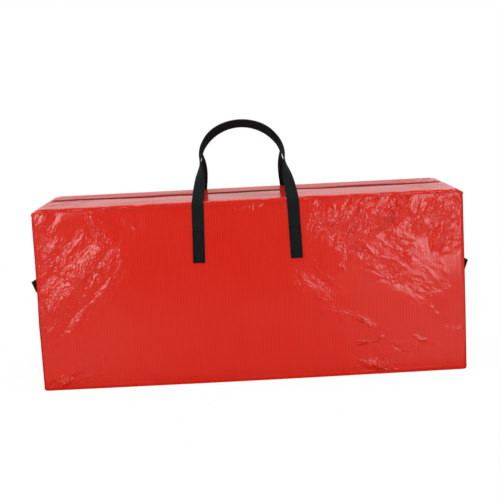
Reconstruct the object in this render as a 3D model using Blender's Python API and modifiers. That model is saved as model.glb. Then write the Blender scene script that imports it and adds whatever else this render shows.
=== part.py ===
# Storage bag for an artificial tree: a long soft box of woven plastic sheet.
# A zip runs along the top, nearer the back, each long side has a carrying handle,
# and each end has a grab handle.
# Metres, +Z up, +X along the bag, front at -Y, origin under the middle of the bag.

import math

import bmesh
import bpy
from mathutils import Matrix, Vector

# Bag
bag_length = 1.219
bag_depth = 0.390
bag_height = 0.518
sheet = 0.002
seat_gap = 0.0003
edge_round = 0.0006
edge_round_steps = 2

# Rolled hem along each long top edge
hem_radius = 0.009
hem_drop = 0.014
hem_reach = 0.020
hem_arc_steps = 6

# Bound seams inside the bag
binding_width = 0.012
binding_thickness = 0.0016

# Zip, nearer the back than the front
zip_depth = 0.077
flap_edge_to_zip = 0.007
tape_width = 0.013
tape_thickness = 0.0012
tooth_row_width = 0.0025
tooth_row_thickness = 0.003
tooth_row_half_gap = 0.0013
tooth_row_end_inset = 0.0395
tab_width = 0.032
slider_length = 0.016
slider_width = 0.010
slider_plate = 0.0012
slider_clearance = 0.0004
slider_end_inset = 0.0205
post_length = 0.005
bridge_length = 0.008
bridge_height = 0.0036
bridge_bar = 0.0012
bridge_width = 0.0018
pull_length = 0.026
pull_width = 0.006
pull_thickness = 0.0014
pull_window = 0.0055
fuse_overlap = 0.0002

# Webbing
webbing_width = 0.034
webbing_thickness = 0.0025
stitch_width = 0.0014
stitch_height = 0.0004
stitch_inset = 0.0035

# Carrying handles
handle_mid_x = -0.006
leg_to_middle = 0.134
leg_splay = math.radians(1.6)
tail_end_below_top = 0.164
stitch_line_below_top = 0.072
handle_rise = 0.227
arch_half_width = 0.1225
arch_rise = 0.132
arch_roundness = 1.04
pivot_stand_off = 0.001
twist_ease = 1.8
twist_extra = math.radians(18)
face_steps = 2
bend_steps = 4
leg_steps = 12
arch_steps = 32
lean_rounds = 12

# End handles
end_handle_height = 0.280
end_handle_half_span = 0.085
end_handle_tail = 0.040
end_handle_rise = 0.0525
end_handle_droop = math.radians(20)
end_handle_limit = math.radians(80)
end_handle_clearance = 0.001
end_arch_steps = 18
end_stub_steps = 6

# Heights and planes that several pieces share
half_length = bag_length / 2
half_depth = bag_depth / 2
inner_half_length = half_length - sheet
inner_half_depth = half_depth - sheet
floor_top = sheet + seat_gap
flap_hinge_depth = half_depth - hem_reach - seat_gap / 2
flap_underside = bag_height - sheet
tape_top = flap_underside - seat_gap
zip_level = tape_top - tape_thickness / 2
stitch_line_height = bag_height - stitch_line_below_top
tail_end_height = bag_height - tail_end_below_top
strap_plane = half_depth + seat_gap + webbing_thickness / 2
handle_pivot_depth = strap_plane + webbing_thickness / 2 + pivot_stand_off
slider_place = half_length - slider_end_inset
tooth_row_end = half_length - tooth_row_end_inset

# Red, black and metal finishes: linear colour, roughness, metallic
finishes = {
    "red_sheet": ((0.60, 0.020, 0.012), 0.32, 0.0),
    "red_tape": ((0.36, 0.016, 0.012), 0.75, 0.0),
    "red_coil": ((0.40, 0.018, 0.012), 0.45, 0.0),
    "red_enamel": ((0.42, 0.016, 0.012), 0.35, 0.3),
    "black_webbing": ((0.012, 0.012, 0.013), 0.72, 0.0),
    "black_thread": ((0.020, 0.020, 0.022), 0.60, 0.0),
}

# Start from an empty scene
for old in list(bpy.data.objects):
    bpy.data.objects.remove(old, do_unlink=True)

parts = bpy.data.collections.new("tree_storage_bag")
cutters = bpy.data.collections.new("cutters")
for collection in (parts, cutters):
    bpy.context.scene.collection.children.link(collection)


def paint(node, finish):
    colour, roughness, metallic = finishes[finish]
    material = bpy.data.materials.new(f"{node}_{finish}")
    material.use_nodes = True
    shader = material.node_tree.nodes["Principled BSDF"]
    shader.inputs["Base Color"].default_value = (*colour, 1)
    shader.inputs["Roughness"].default_value = roughness
    shader.inputs["Metallic"].default_value = metallic
    return material


# An empty on the axis of a joint carries the pieces that turn or slide there
def joint_empty(name, place):
    empty = bpy.data.objects.new(name, None)
    empty.location = place
    parts.objects.link(empty)
    return empty


def add_piece(name, data, finish, joint=None):
    piece = bpy.data.objects.new(name, data)
    piece.data.materials.append(paint(name, finish))
    parts.objects.link(piece)
    if joint:
        piece.parent = joint
        piece.matrix_parent_inverse = Matrix.Translation(-joint.location)
    return piece


def box_mesh(name, low, high):
    shape = bmesh.new()
    bmesh.ops.create_cube(shape, size=1)
    bmesh.ops.scale(shape, vec=Vector(high) - Vector(low), verts=shape.verts)
    mesh = bpy.data.meshes.new(name)
    shape.to_mesh(mesh)
    shape.free()
    return mesh


def add_box(name, low, high, finish, joint=None):
    piece = add_piece(name, box_mesh(name, low, high), finish, joint)
    piece.location = (Vector(low) + Vector(high)) / 2
    return piece


def round_edges(piece):
    bevel = piece.modifiers.new("edges", "BEVEL")
    bevel.width = edge_round
    bevel.segments = edge_round_steps


# Fuse a box into a piece
def fuse_box(piece, name, low, high):
    lump = bpy.data.objects.new(name, box_mesh(name, low, high))
    lump.location = (Vector(low) + Vector(high)) / 2
    lump.hide_render = True
    lump.display_type = "WIRE"
    cutters.objects.link(lump)
    union = piece.modifiers.new(name, "BOOLEAN")
    union.operation = "UNION"
    union.solver = "EXACT"
    union.object = lump


# A bar bent through frames: centre, half thickness vector and half width vector at each
def bent_bar(name, frames, finish, joint=None):
    shape = bmesh.new()
    bmesh.ops.create_cube(shape, size=1)
    lengthwise = [edge for edge in shape.edges if edge.verts[0].co.x != edge.verts[1].co.x]
    if len(frames) > 2:
        bmesh.ops.subdivide_edges(shape, edges=lengthwise, cuts=len(frames) - 2)
    last = len(frames) - 1
    for vert in shape.verts:
        station = round((vert.co.x + 1 / 2) * last)
        centre, through, across = frames[station]
        vert.co = centre + through * (2 * vert.co.y) + across * (2 * vert.co.z)
    shape.normal_update()
    bmesh.ops.recalc_face_normals(shape, faces=shape.faces)
    mesh = bpy.data.meshes.new(name)
    shape.to_mesh(mesh)
    shape.free()
    return add_piece(name, mesh, finish, joint)


# A flat plate cut to an outline, with any further outlines as windows in it
def outline_plate(name, outlines, thickness, finish, joint=None):
    curve = bpy.data.curves.new(name, "CURVE")
    curve.dimensions = "2D"
    curve.fill_mode = "BOTH"
    curve.extrude = thickness / 2
    for outline in outlines:
        spline = curve.splines.new("POLY")
        spline.points.add(len(outline) - 1)
        for point, (across, up) in zip(spline.points, outline):
            point.co = (across, up, 0, 1)
        spline.use_cyclic_u = True
    return add_piece(name, curve, finish, joint)


def ease(share):
    share = min(max(share, 0), 1)
    return share * share * (3 - 2 * share)


def between(low, high, share):
    return low + (high - low) * share


# Bottom, front and back walls
def make_walls():
    low = (-half_length, -half_depth, 0)
    round_edges(add_box("bottom_panel", low, (half_length, half_depth, sheet), "red_sheet"))
    wall_top = bag_height - hem_drop - seat_gap
    for name, side in (("front_panel", -1), ("back_panel", 1)):
        inner, outer = sorted((side * inner_half_depth, side * half_depth))
        wall = add_box(name, (-half_length, inner, floor_top), (half_length, outer, wall_top), "red_sheet")
        round_edges(wall)


# End walls, with their top corners rounded to pass inside the rolled hems
def make_end_walls():
    half_width = inner_half_depth - seat_gap
    corner = hem_radius
    arc_up = tape_top - corner
    outline = [(-half_width, floor_top), (half_width, floor_top)]
    for turn in (0, 1):
        for step in range(hem_arc_steps + 1):
            angle = (turn + step / hem_arc_steps) * math.pi / 2
            middle = (half_width - corner) * (1 - 2 * turn)
            outline.append((middle + corner * math.cos(angle), arc_up + corner * math.sin(angle)))
    for name, side in (("left_end_panel", -1), ("right_end_panel", 1)):
        wall = outline_plate(name, [outline], sheet, "red_sheet")
        wall.rotation_euler = (math.pi / 2, 0, math.pi / 2)
        wall.location = (side * (half_length - sheet / 2), 0, 0)


# Rolled hem: up the wall, round the long top edge and a little way in along the top
def make_hems():
    middle = hem_radius - sheet / 2
    for name, side in (("front_top_hem", -1), ("back_top_hem", 1)):
        route = [(half_depth - sheet / 2, bag_height - hem_drop, 0)]
        for step in range(hem_arc_steps + 1):
            angle = step / hem_arc_steps * math.pi / 2
            depth = half_depth - hem_radius + middle * math.cos(angle)
            height = bag_height - hem_radius + middle * math.sin(angle)
            route.append((depth, height, angle))
        route.append((half_depth - hem_reach, bag_height - sheet / 2, math.pi / 2))
        frames = []
        for depth, height, angle in route:
            through = Vector((0, side * math.cos(angle), math.sin(angle))) * (sheet / 2)
            frames.append((Vector((0, side * depth, height)), through, Vector((half_length, 0, 0))))
        bent_bar(name, frames, "red_sheet")


# A bound seam: a narrow strip that stands off an inside corner at half a right angle
def make_binding(name, start, end, inward):
    inward = Vector(inward).normalized()
    along = (Vector(end) - Vector(start)).normalized()
    sideways = along.cross(inward)
    stand_off = binding_thickness / 2 + seat_gap * math.sqrt(2)
    frames = []
    for corner in (start, end):
        centre = Vector(corner) + inward * (stand_off + binding_width / 2)
        frames.append((centre, sideways * (binding_thickness / 2), inward * (binding_width / 2)))
    bent_bar(name, frames, "red_tape")


def make_bindings():
    low = sheet + binding_width
    high = bag_height - hem_drop - binding_width
    long_end = inner_half_length - binding_width
    short_end = inner_half_depth - binding_width
    for end_name, end in (("left", -1), ("right", 1)):
        x = end * inner_half_length
        make_binding(f"{end_name}_bottom_binding", (x, -short_end, sheet), (x, short_end, sheet), (-end, 0, 1))
        for side_name, side in (("front", -1), ("back", 1)):
            y = side * inner_half_depth
            make_binding(f"{side_name}_{end_name}_corner_binding", (x, y, low), (x, y, high), (-end, -side, 0))
    for side_name, side in (("front", -1), ("back", 1)):
        y = side * inner_half_depth
        start = (-long_end, y, sheet)
        make_binding(f"{side_name}_bottom_binding", start, (long_end, y, sheet), (0, -side, 1))


# One top flap with its zip tape and its row of teeth, hinged along the hem
def make_flap(side_name, side):
    joint = joint_empty(f"{side_name}_flap_hinge", (0, side * flap_hinge_depth, bag_height))
    tape_inner = tooth_row_half_gap + tooth_row_width + seat_gap
    strips = (
        ("flap_panel", zip_depth + side * flap_edge_to_zip, side * (half_depth - hem_reach - seat_gap),
         flap_underside, bag_height, half_length, "red_sheet"),
        ("zip_tape", zip_depth + side * tape_inner, zip_depth + side * (tape_inner + tape_width),
         tape_top - tape_thickness, tape_top, tooth_row_end, "red_tape"),
        ("zip_teeth", zip_depth + side * tooth_row_half_gap, zip_depth + side * (tooth_row_half_gap + tooth_row_width),
         zip_level - tooth_row_thickness / 2, zip_level + tooth_row_thickness / 2, tooth_row_end, "red_coil"),
    )
    for strip, near, far, bottom, top, end, finish in strips:
        inner, outer = sorted((near, far))
        low = (-end, inner, bottom)
        add_box(f"{side_name}_{strip}", low, (end, outer, top), finish, joint)


# The tab that closes each end of the zip, slotted where the slider parks
def make_zip_tabs():
    tab_start = tooth_row_end + seat_gap
    tab_end = inner_half_length - seat_gap
    slot_end = slider_place + post_length / 2 + seat_gap
    half_width = tab_width / 2
    slot = tooth_row_half_gap
    outline = [(tab_start, -half_width), (tab_end, -half_width), (tab_end, half_width), (tab_start, half_width),
               (tab_start, slot), (slot_end, slot), (slot_end, -slot), (tab_start, -slot)]
    for name, turn in (("right_zip_end_tab", 0), ("left_zip_end_tab", math.pi)):
        tab = outline_plate(name, [outline], tape_thickness, "red_tape")
        tab.location = (0, zip_depth, zip_level)
        tab.rotation_euler = (0, 0, turn)


# The slider: two plates joined by a post, with a bridge on top for the pull
def make_slider():
    joint = joint_empty("zip_slider_slide", (slider_place, zip_depth, zip_level))
    inside = tooth_row_thickness / 2 + slider_clearance
    outside = inside + slider_plate
    start = slider_place - slider_length / 2
    end = slider_place + slider_length / 2
    half_width = slider_width / 2
    front, back = zip_depth - half_width, zip_depth + half_width
    low = (start, front, zip_level + inside)
    slider = add_box("zip_slider", low, (end, back, zip_level + outside), "red_enamel", joint)
    low = (start, front, zip_level - outside)
    fuse_box(slider, "slider_lower_plate", low, (end, back, zip_level - inside))
    post_half = tooth_row_half_gap - seat_gap
    reach = inside + fuse_overlap
    low = (slider_place - post_length / 2, zip_depth - post_half, zip_level - reach)
    high = (slider_place + post_length / 2, zip_depth + post_half, zip_level + reach)
    fuse_box(slider, "slider_post", low, high)
    foot = zip_level + outside - fuse_overlap
    top = zip_level + outside + bridge_height
    bridge_half = bridge_width / 2
    for name, side in (("bridge_near_pillar", -1), ("bridge_far_pillar", 1)):
        edges = sorted((side * bridge_length / 2, side * (bridge_length / 2 - bridge_bar)))
        low = (slider_place + edges[0], zip_depth - bridge_half, foot)
        fuse_box(slider, name, low, (slider_place + edges[1], zip_depth + bridge_half, top))
    reach, bridge_inner = bridge_length / 2 - fuse_overlap, bridge_half - fuse_overlap
    low = (slider_place - reach, zip_depth - bridge_inner, top - bridge_bar)
    high = (slider_place + reach, zip_depth + bridge_inner, top - fuse_overlap)
    fuse_box(slider, "bridge_top", low, high)
    return zip_level + outside


# The pull: a flat tag whose end bar passes through the bridge
def make_pull(plate_top):
    window_half_height = (bridge_height - bridge_bar) / 2
    pivot = (slider_place, zip_depth, plate_top + window_half_height)
    joint = joint_empty("zip_pull_hinge", pivot)
    bar = pull_thickness / 2
    half_width = pull_width / 2
    window_half_width = bridge_width / 2 + seat_gap
    outline = [(bar, -half_width), (bar, half_width), (bar - pull_length, half_width), (bar - pull_length, -half_width)]
    window = [(-bar, -window_half_width), (-bar, window_half_width),
              (-bar - pull_window, window_half_width), (-bar - pull_window, -window_half_width)]
    pull = outline_plate("zip_pull", [outline, window], pull_thickness, "red_enamel", joint)
    pull.location = pivot


# A box with a cross in it, sewn flat on webbing: a plate with four three-sided windows
def make_stitching(name, width, length):
    across = width / 2 - stitch_inset
    up = length / 2 - stitch_inset
    outline = [(-across, -up), (across, -up), (across, up), (-across, up)]
    inner_across = across - stitch_width
    inner_up = up - stitch_width
    slope = math.hypot(inner_across, inner_up)
    gap_across = stitch_width / 2 * slope / inner_up
    gap_up = stitch_width / 2 * slope / inner_across
    windows = []
    for side in (-1, 1):
        windows.append([(side * inner_across, gap_up - inner_up), (side * inner_across, inner_up - gap_up),
                        (side * gap_across, 0)])
        windows.append([(gap_across - inner_across, side * inner_up), (inner_across - gap_across, side * inner_up),
                        (0, side * gap_up)])
    return outline_plate(name, [outline, *windows], stitch_height, "black_thread")


# The lean of a carrying handle, so that the two arches meet over the middle of the top
def handle_lean():
    bend_radius = hem_radius + seat_gap + webbing_thickness / 2
    half_width = webbing_width / 2
    half_thick = webbing_thickness / 2
    lean = math.pi / 4
    for _ in range(lean_rounds):
        sine = math.sin(lean)
        cosine = math.cos(lean)
        reach = half_depth - hem_radius + bend_radius * cosine
        reach -= seat_gap / 2 + half_width * cosine + half_thick * sine
        rise = handle_rise + hem_radius - bend_radius * sine
        rise -= half_width * sine + half_thick * cosine
        lean = math.atan2(reach, rise)
    return lean, math.hypot(reach, rise)


def leg_offset(height):
    return leg_to_middle + (bag_height - height) * math.tan(leg_splay)


# Stations of one half of a carrying handle, from its stitch line to the top of the arch:
# distance from the middle, distance out from the mid-plane, height, lean there, twist of the webbing
def half_handle_stations(lean, lean_length):
    stations = []
    bend_foot = bag_height - hem_radius
    start = stitch_line_height + seat_gap / 2
    for step in range(face_steps):
        height = between(start, bend_foot, step / face_steps)
        stations.append((leg_offset(height), strap_plane, height, 0, 0))
    bend_radius = hem_radius + seat_gap + webbing_thickness / 2
    for step in range(bend_steps):
        angle = lean * step / bend_steps
        depth = half_depth - hem_radius + bend_radius * math.cos(angle)
        height = bend_foot + bend_radius * math.sin(angle)
        stations.append((leg_offset(height), depth, height, angle, 0))
    foot_depth = half_depth - hem_radius + bend_radius * math.cos(lean)
    foot_height = bend_foot + bend_radius * math.sin(lean)
    arch_foot = lean_length - arch_rise

    def leaning(offset, along, twist):
        return (offset, foot_depth - along * math.sin(lean), foot_height + along * math.cos(lean), lean, twist)

    foot_offset = leg_offset(foot_height)
    for step in range(leg_steps):
        share = step / leg_steps
        offset = arch_half_width + (foot_offset - arch_half_width) * (1 - share) ** 1.5
        stations.append(leaning(offset, arch_foot * share, math.pi / 2 * share ** twist_ease))
    for step in range(arch_steps // 2 + 1):
        share = 2 * step / arch_steps
        angle = math.pi / 2 * share
        offset = arch_half_width * math.cos(angle) ** (1 / arch_roundness)
        along = arch_foot + arch_rise * math.sin(angle) ** (1 / arch_roundness)
        twist = math.pi / 2 + twist_extra * math.sin(math.pi * share) * (1 - share)
        stations.append(leaning(offset, along, twist))
    return stations


# The webbing strap through those stations, mirrored to the other leg
def make_handle_strap(side_name, side):
    lean, lean_length = handle_lean()
    half = half_handle_stations(lean, lean_length)
    both = [(-1, station) for station in half] + [(1, station) for station in reversed(half[:-1])]
    centres = []
    for way, (offset, depth, height, _, _) in both:
        centres.append(Vector((handle_mid_x + way * offset, side * depth, height)))
    frames = []
    last = len(centres) - 1
    for index, (way, (_, _, _, lean_here, twist)) in enumerate(both):
        tangent = (centres[min(index + 1, last)] - centres[max(index - 1, 0)]).normalized()
        plane_normal = Vector((0, -side * math.cos(lean_here), -math.sin(lean_here)))
        outward = tangent.cross(plane_normal).normalized()
        if outward.x * way < 0 or (way < 0 and index == last // 2 and outward.z < 0):
            outward = -outward
        width_way = outward * math.cos(twist) + plane_normal * math.sin(twist)
        width_way = (width_way - tangent * width_way.dot(tangent)).normalized()
        through = tangent.cross(width_way)
        frames.append((centres[index], through * (webbing_thickness / 2), width_way * (webbing_width / 2)))
    joint = joint_empty(f"{side_name}_handle_hinge", (0, side * handle_pivot_depth, stitch_line_height))
    bent_bar(f"{side_name}_handle_strap", frames, "black_webbing", joint)


# The sewn ends of a carrying handle and their stitching
def make_handle_tails(side_name, side):
    top = stitch_line_height - seat_gap / 2
    for way_name, way in (("left", -1), ("right", 1)):
        ends = []
        for height in (tail_end_height, top):
            ends.append(Vector((handle_mid_x + way * leg_offset(height), side * strap_plane, height)))
        upward = (ends[1] - ends[0]).normalized()
        across = upward.cross(Vector((0, 1, 0))) * (webbing_width / 2)
        through = Vector((0, webbing_thickness / 2, 0))
        name = f"{side_name}_handle_{way_name}_tail"
        bent_bar(name, [(centre, through, across) for centre in ends], "black_webbing")
        stitching = make_stitching(f"{name}_stitching", webbing_width, (ends[1] - ends[0]).length)
        stitching.rotation_euler = (math.pi / 2, math.atan2(upward.x, upward.z), 0)
        stitch_depth = strap_plane + webbing_thickness / 2 + seat_gap + stitch_height / 2
        middle = (ends[0] + ends[1]) / 2
        stitching.location = (middle.x, side * stitch_depth, middle.z)


# How far the end handle stands off its wall, how steep it is there, and its droop
def end_handle_state(y, cut_y):
    base = seat_gap + webbing_thickness / 2
    share = min(abs(y) / end_handle_half_span, 1)
    out = base + end_handle_rise * (1 + math.cos(math.pi * share)) / 2
    slope = end_handle_rise / 2 * math.pi / end_handle_half_span * math.sin(math.pi * share)
    droop = end_handle_droop * ease((end_handle_half_span - abs(y)) / (end_handle_half_span - cut_y))
    return out, math.sqrt(1 + slope * slope), droop


def end_handle_frame(side, y, cut_y, cut_out):
    out, steep, droop = end_handle_state(y, cut_y)
    height = end_handle_height
    if abs(y) < cut_y:
        lever = out - cut_out
        out = cut_out + lever * math.cos(droop)
        height -= lever * math.sin(droop)
    centre = Vector((side * (half_length + out), y, height))
    across = Vector((side * math.sin(droop), 0, math.cos(droop))) * (webbing_width / 2)
    through = Vector((side * math.cos(droop), 0, -math.sin(droop))) * (webbing_thickness / 2 * steep)
    return centre, through, across


# A grab handle: an arch that swings on the line between its two sewn ends
def make_end_handle(end_name, side):
    base = seat_gap + webbing_thickness / 2
    cut_out = webbing_width / 2 * math.sin(end_handle_limit) + webbing_thickness + end_handle_clearance
    share = math.acos(2 * (cut_out - base) / end_handle_rise - 1) / math.pi
    cut_y = end_handle_half_span * share
    joint = joint_empty(f"{end_name}_end_handle_hinge", (side * (half_length + cut_out), 0, end_handle_height))
    arch_end = cut_y - seat_gap / 2
    frames = []
    for step in range(end_arch_steps + 1):
        y = between(-arch_end, arch_end, step / end_arch_steps)
        frames.append(end_handle_frame(side, y, cut_y, cut_out))
    bent_bar(f"{end_name}_end_handle_strap", frames, "black_webbing", joint)
    for tail_name, way in (("front", -1), ("back", 1)):
        frames = [end_handle_frame(side, way * (end_handle_half_span + end_handle_tail), cut_y, cut_out)]
        for step in range(end_stub_steps + 1):
            y = between(end_handle_half_span, cut_y + seat_gap / 2, step / end_stub_steps)
            frames.append(end_handle_frame(side, way * y, cut_y, cut_out))
        name = f"{end_name}_end_handle_{tail_name}_tail"
        bent_bar(name, frames, "black_webbing")
        stitching = make_stitching(f"{name}_stitching", end_handle_tail, webbing_width)
        stitching.rotation_euler = (math.pi / 2, 0, math.pi / 2)
        stitch_out = base + webbing_thickness / 2 + seat_gap + stitch_height / 2
        middle = end_handle_half_span + end_handle_tail / 2
        stitching.location = (side * (half_length + stitch_out), way * middle, end_handle_height)


make_walls()
make_end_walls()
make_hems()
make_bindings()
for flap_name, flap_side in (("front", -1), ("back", 1)):
    make_flap(flap_name, flap_side)
    make_handle_strap(flap_name, flap_side)
    make_handle_tails(flap_name, flap_side)
make_zip_tabs()
make_pull(make_slider())
for grip_name, grip_side in (("left", -1), ("right", 1)):
    make_end_handle(grip_name, grip_side)
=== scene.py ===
import math

import bpy
import numpy as np
from mathutils import Matrix, Vector


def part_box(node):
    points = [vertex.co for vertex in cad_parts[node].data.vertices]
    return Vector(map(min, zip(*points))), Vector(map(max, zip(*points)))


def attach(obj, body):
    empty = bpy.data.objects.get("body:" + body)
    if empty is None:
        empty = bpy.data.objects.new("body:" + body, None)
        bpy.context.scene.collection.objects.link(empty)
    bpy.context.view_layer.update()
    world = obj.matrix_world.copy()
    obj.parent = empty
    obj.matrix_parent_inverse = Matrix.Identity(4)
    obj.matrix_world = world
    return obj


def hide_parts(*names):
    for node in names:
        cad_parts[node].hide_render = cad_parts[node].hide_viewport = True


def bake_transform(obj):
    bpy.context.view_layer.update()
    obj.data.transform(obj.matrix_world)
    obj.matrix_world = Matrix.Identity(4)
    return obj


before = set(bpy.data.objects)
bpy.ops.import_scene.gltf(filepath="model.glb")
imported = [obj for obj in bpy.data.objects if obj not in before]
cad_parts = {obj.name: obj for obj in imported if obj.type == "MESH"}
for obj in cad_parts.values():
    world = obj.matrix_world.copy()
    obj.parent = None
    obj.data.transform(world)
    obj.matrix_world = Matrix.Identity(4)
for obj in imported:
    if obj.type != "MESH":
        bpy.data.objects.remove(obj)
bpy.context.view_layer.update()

# The bag's own measures in metres, front at -Y
bag = {
    "halfLength": 0.6108,
    "halfDepth": 0.195,
    "height": 0.5205,
    "uprightRound": 0.011,
    "hemRound": 0.005,
    "hemFall": 0.0088,
    "footRound": 0.0055,
    "underTurn": 0.005,
    "sheet": 0.001,
    "wallInset": 0.0003,
    "wallTop": 0.5115,
    "wrap": 0.012,
    "skirtDrop": 0.0115,
    "flapHinge": 0.175,
    "lid": ((-0.189, 0.0070), (-0.172, 0.0074), (-0.158, 0.0066), (-0.125, 0.0022), (0.090, -0.0006),
            (0.172, 0.0024), (0.189, 0.0020)),
    "lidEnds": 0.018,
    "flare": 0.0030,
    "belly": 0.0110,
    "footLean": 0.0080,
    "hingeSpread": 0.006,
    "zipPlace": 0.077,
    "zipEdge": 0.007,
}
halfLength, halfDepth, lidLevel = bag["halfLength"], bag["halfDepth"], bag["height"]
longSides = (("front", -1), ("back", 1))
shortSides = (("left", -1), ("right", 1))


# Selecting, starting and finishing pieces
def setMode(mode):
    bpy.ops.object.mode_set(mode=mode)


def clearSelection():
    if bpy.context.object and bpy.context.object.mode != "OBJECT":
        setMode("OBJECT")
    bpy.ops.object.select_all(action="DESELECT")


def pick(piece):
    clearSelection()
    piece.select_set(True)
    bpy.context.view_layer.objects.active = piece


def nameIt(name):
    piece = bpy.context.object
    piece.name = piece.data.name = name
    return piece


# A primitive at its size, with its scale, turn and place kept in its mesh
def addShape(name, operator, scale, **settings):
    clearSelection()
    operator(**settings)
    piece = nameIt(name)
    piece.scale = scale
    pick(piece)
    bpy.ops.object.transform_apply(location=True, rotation=True, scale=True)
    return piece


def addModifier(piece, kind, **settings):
    pick(piece)
    change = piece.modifiers.new(kind.lower(), kind)
    for key, value in settings.items():
        setattr(change, key, value)
    bpy.ops.object.modifier_apply(modifier=change.name)
    return piece


def repeat(piece, count, step):
    addModifier(piece, "ARRAY", count=count, use_relative_offset=False, use_constant_offset=True,
                constant_offset_displace=(step, 0, 0))


def joinPieces(name, pieces):
    clearSelection()
    for piece in pieces:
        piece.select_set(True)
    bpy.context.view_layer.objects.active = pieces[0]
    bpy.ops.object.join()
    return nameIt(name)


def places(piece):
    flat = np.empty(len(piece.data.vertices) * 3)
    piece.data.vertices.foreach_get("co", flat)
    return flat.reshape(-1, 3)


def movePlaces(piece, *new):
    new = np.stack(new, 1) if len(new) == 3 else new[0]
    piece.data.vertices.foreach_set("co", np.asarray(new, float).ravel())
    piece.data.update()


def finishPiece(piece, finish, body=None, stands=(), angle=40, turned=True):
    if turned:
        editAll(piece, bpy.ops.mesh.normals_make_consistent, inside=False)
    piece.data.materials.clear()
    for one in finish if isinstance(finish, (list, tuple)) else [finish]:
        piece.data.materials.append(one)
    pick(piece)
    bpy.ops.object.shade_smooth_by_angle(angle=math.radians(angle))
    if body:
        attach(piece, body)
    if stands:
        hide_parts(*stands)


# Edit mode: all of a piece, or the edges or faces that pass a test
def editAll(piece, operator, **settings):
    pick(piece)
    setMode("EDIT")
    bpy.ops.mesh.select_all(action="SELECT")
    operator(**settings)
    setMode("OBJECT")


def bisectAt(piece, place, normal):
    editAll(piece, bpy.ops.mesh.bisect, plane_co=place, plane_no=normal)


def selectOnly(piece, kind, chosen):
    pick(piece)
    setMode("EDIT")
    bpy.ops.mesh.select_mode(type=kind)
    bpy.ops.mesh.select_all(action="DESELECT")
    setMode("OBJECT")
    parts = piece.data.edges if kind == "EDGE" else piece.data.polygons
    parts.foreach_set("select", chosen)
    setMode("EDIT")


def selectEdges(piece, test):
    pick(piece)
    spots = [vertex.co for vertex in piece.data.vertices]
    pairs = [edge.vertices for edge in piece.data.edges]
    selectOnly(piece, "EDGE", [bool(test(spots[first], spots[second])) for first, second in pairs])


def selectFaces(piece, test):
    pick(piece)
    selectOnly(piece, "FACE", [bool(test(face.center, face.normal)) for face in piece.data.polygons])


# Edges that run along one axis are cut into equal lengths
def cutAlong(piece, axis, cuts):
    for number in cuts:
        pick(piece)
        ends = np.empty(len(piece.data.edges) * 2, int)
        piece.data.edges.foreach_get("vertices", ends)
        here = places(piece)[ends]
        span = np.abs(here[::2] - here[1::2])
        selectOnly(piece, "EDGE", span[:, axis] > 0.9 * np.linalg.norm(span, axis=1))
        bpy.ops.mesh.subdivide(number_cuts=number)
        setMode("OBJECT")


def flatUv(piece):
    layer = piece.data.uv_layers.active or piece.data.uv_layers.new()
    layer.name = "cloth"
    corner = np.empty(len(piece.data.loops), int)
    piece.data.loops.foreach_get("vertex_index", corner)
    layer.data.foreach_set("uv", places(piece)[corner, :2].ravel())


# A flat sheet as a grid, with its flat place kept as UV in metres
def addSheet(name, width, height, cell):
    across, up = max(round(width / cell), 1), max(round(height / cell), 1)
    piece = addShape(name, bpy.ops.mesh.primitive_grid_add, (width, height, 1),
                     x_subdivisions=across, y_subdivisions=up, size=1)
    flatUv(piece)
    return piece


# A flat strip of webbing or tape, its long edges bevelled, cut along for bending
def addStrip(name, length, width, thickness, bevel, along, across=()):
    piece = addShape(name, bpy.ops.mesh.primitive_cube_add, (length, width, thickness), size=1)
    selectEdges(piece, lambda a, b: abs(a[0] - b[0]) > length / 2)
    bpy.ops.mesh.bevel(offset=bevel, segments=2, affect="EDGES")
    cutAlong(piece, 1, across)
    cutAlong(piece, 0, along)
    flatUv(piece)
    return piece


def unitRows(rows):
    return rows / np.linalg.norm(rows, axis=1, keepdims=True)


def runOf(centre):
    steps = np.linalg.norm(np.diff(centre, axis=0), axis=1)
    return np.concatenate([[0], np.cumsum(steps)])


# A strip laid along a route of frames: centre, across and through at each run
def bendStrip(piece, centre, across, through):
    run = runOf(centre)
    along, wide, deep = places(piece).T[:, :, None]
    spot = along[:, 0] + run[-1] / 2

    def at(values):
        return np.stack([np.interp(spot, run, column) for column in values.T], 1)

    movePlaces(piece, at(centre) + unitRows(at(across)) * wide + unitRows(at(through)) * deep)


def ease(share):
    share = np.clip(share, 0, 1)
    return share * share * (3 - 2 * share)


# The hems stand a little above the ends of the bag
def hemRise(x, side):
    most = bag["lid"][0 if side < 0 else -1][1]
    return most * ease((halfLength - bag["hemRound"] - np.abs(x)) / bag["lidEnds"])


# Shader maths: a socket that adds, subtracts and multiplies
class Signal:
    def __init__(self, sheet, socket):
        self.sheet, self.socket = sheet, socket

    def maths(self, operation, *others):
        return self.sheet.add("ShaderNodeMath", {"operation": operation}, dict(enumerate((self, *others))))

    def __add__(self, other):
        return self.maths("ADD", other)

    def __sub__(self, other):
        return self.maths("SUBTRACT", other)

    def __rsub__(self, other):
        return self.maths("MULTIPLY_ADD", -1.0, other)

    def __mul__(self, other):
        return self.maths("MULTIPLY", other)

    __radd__ = __add__
    __rmul__ = __mul__

    def wave(self, pitch):
        return self.maths("MULTIPLY", math.tau / pitch).maths("SINE")

    def clear(self, low, high):
        settings = {"interpolation_type": "SMOOTHSTEP"}
        return self.sheet.add("ShaderNodeMapRange", settings, {0: self, 1: low, 2: high})

    def out(self, name):
        return Signal(self.sheet, self.socket.node.outputs[name])


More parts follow.
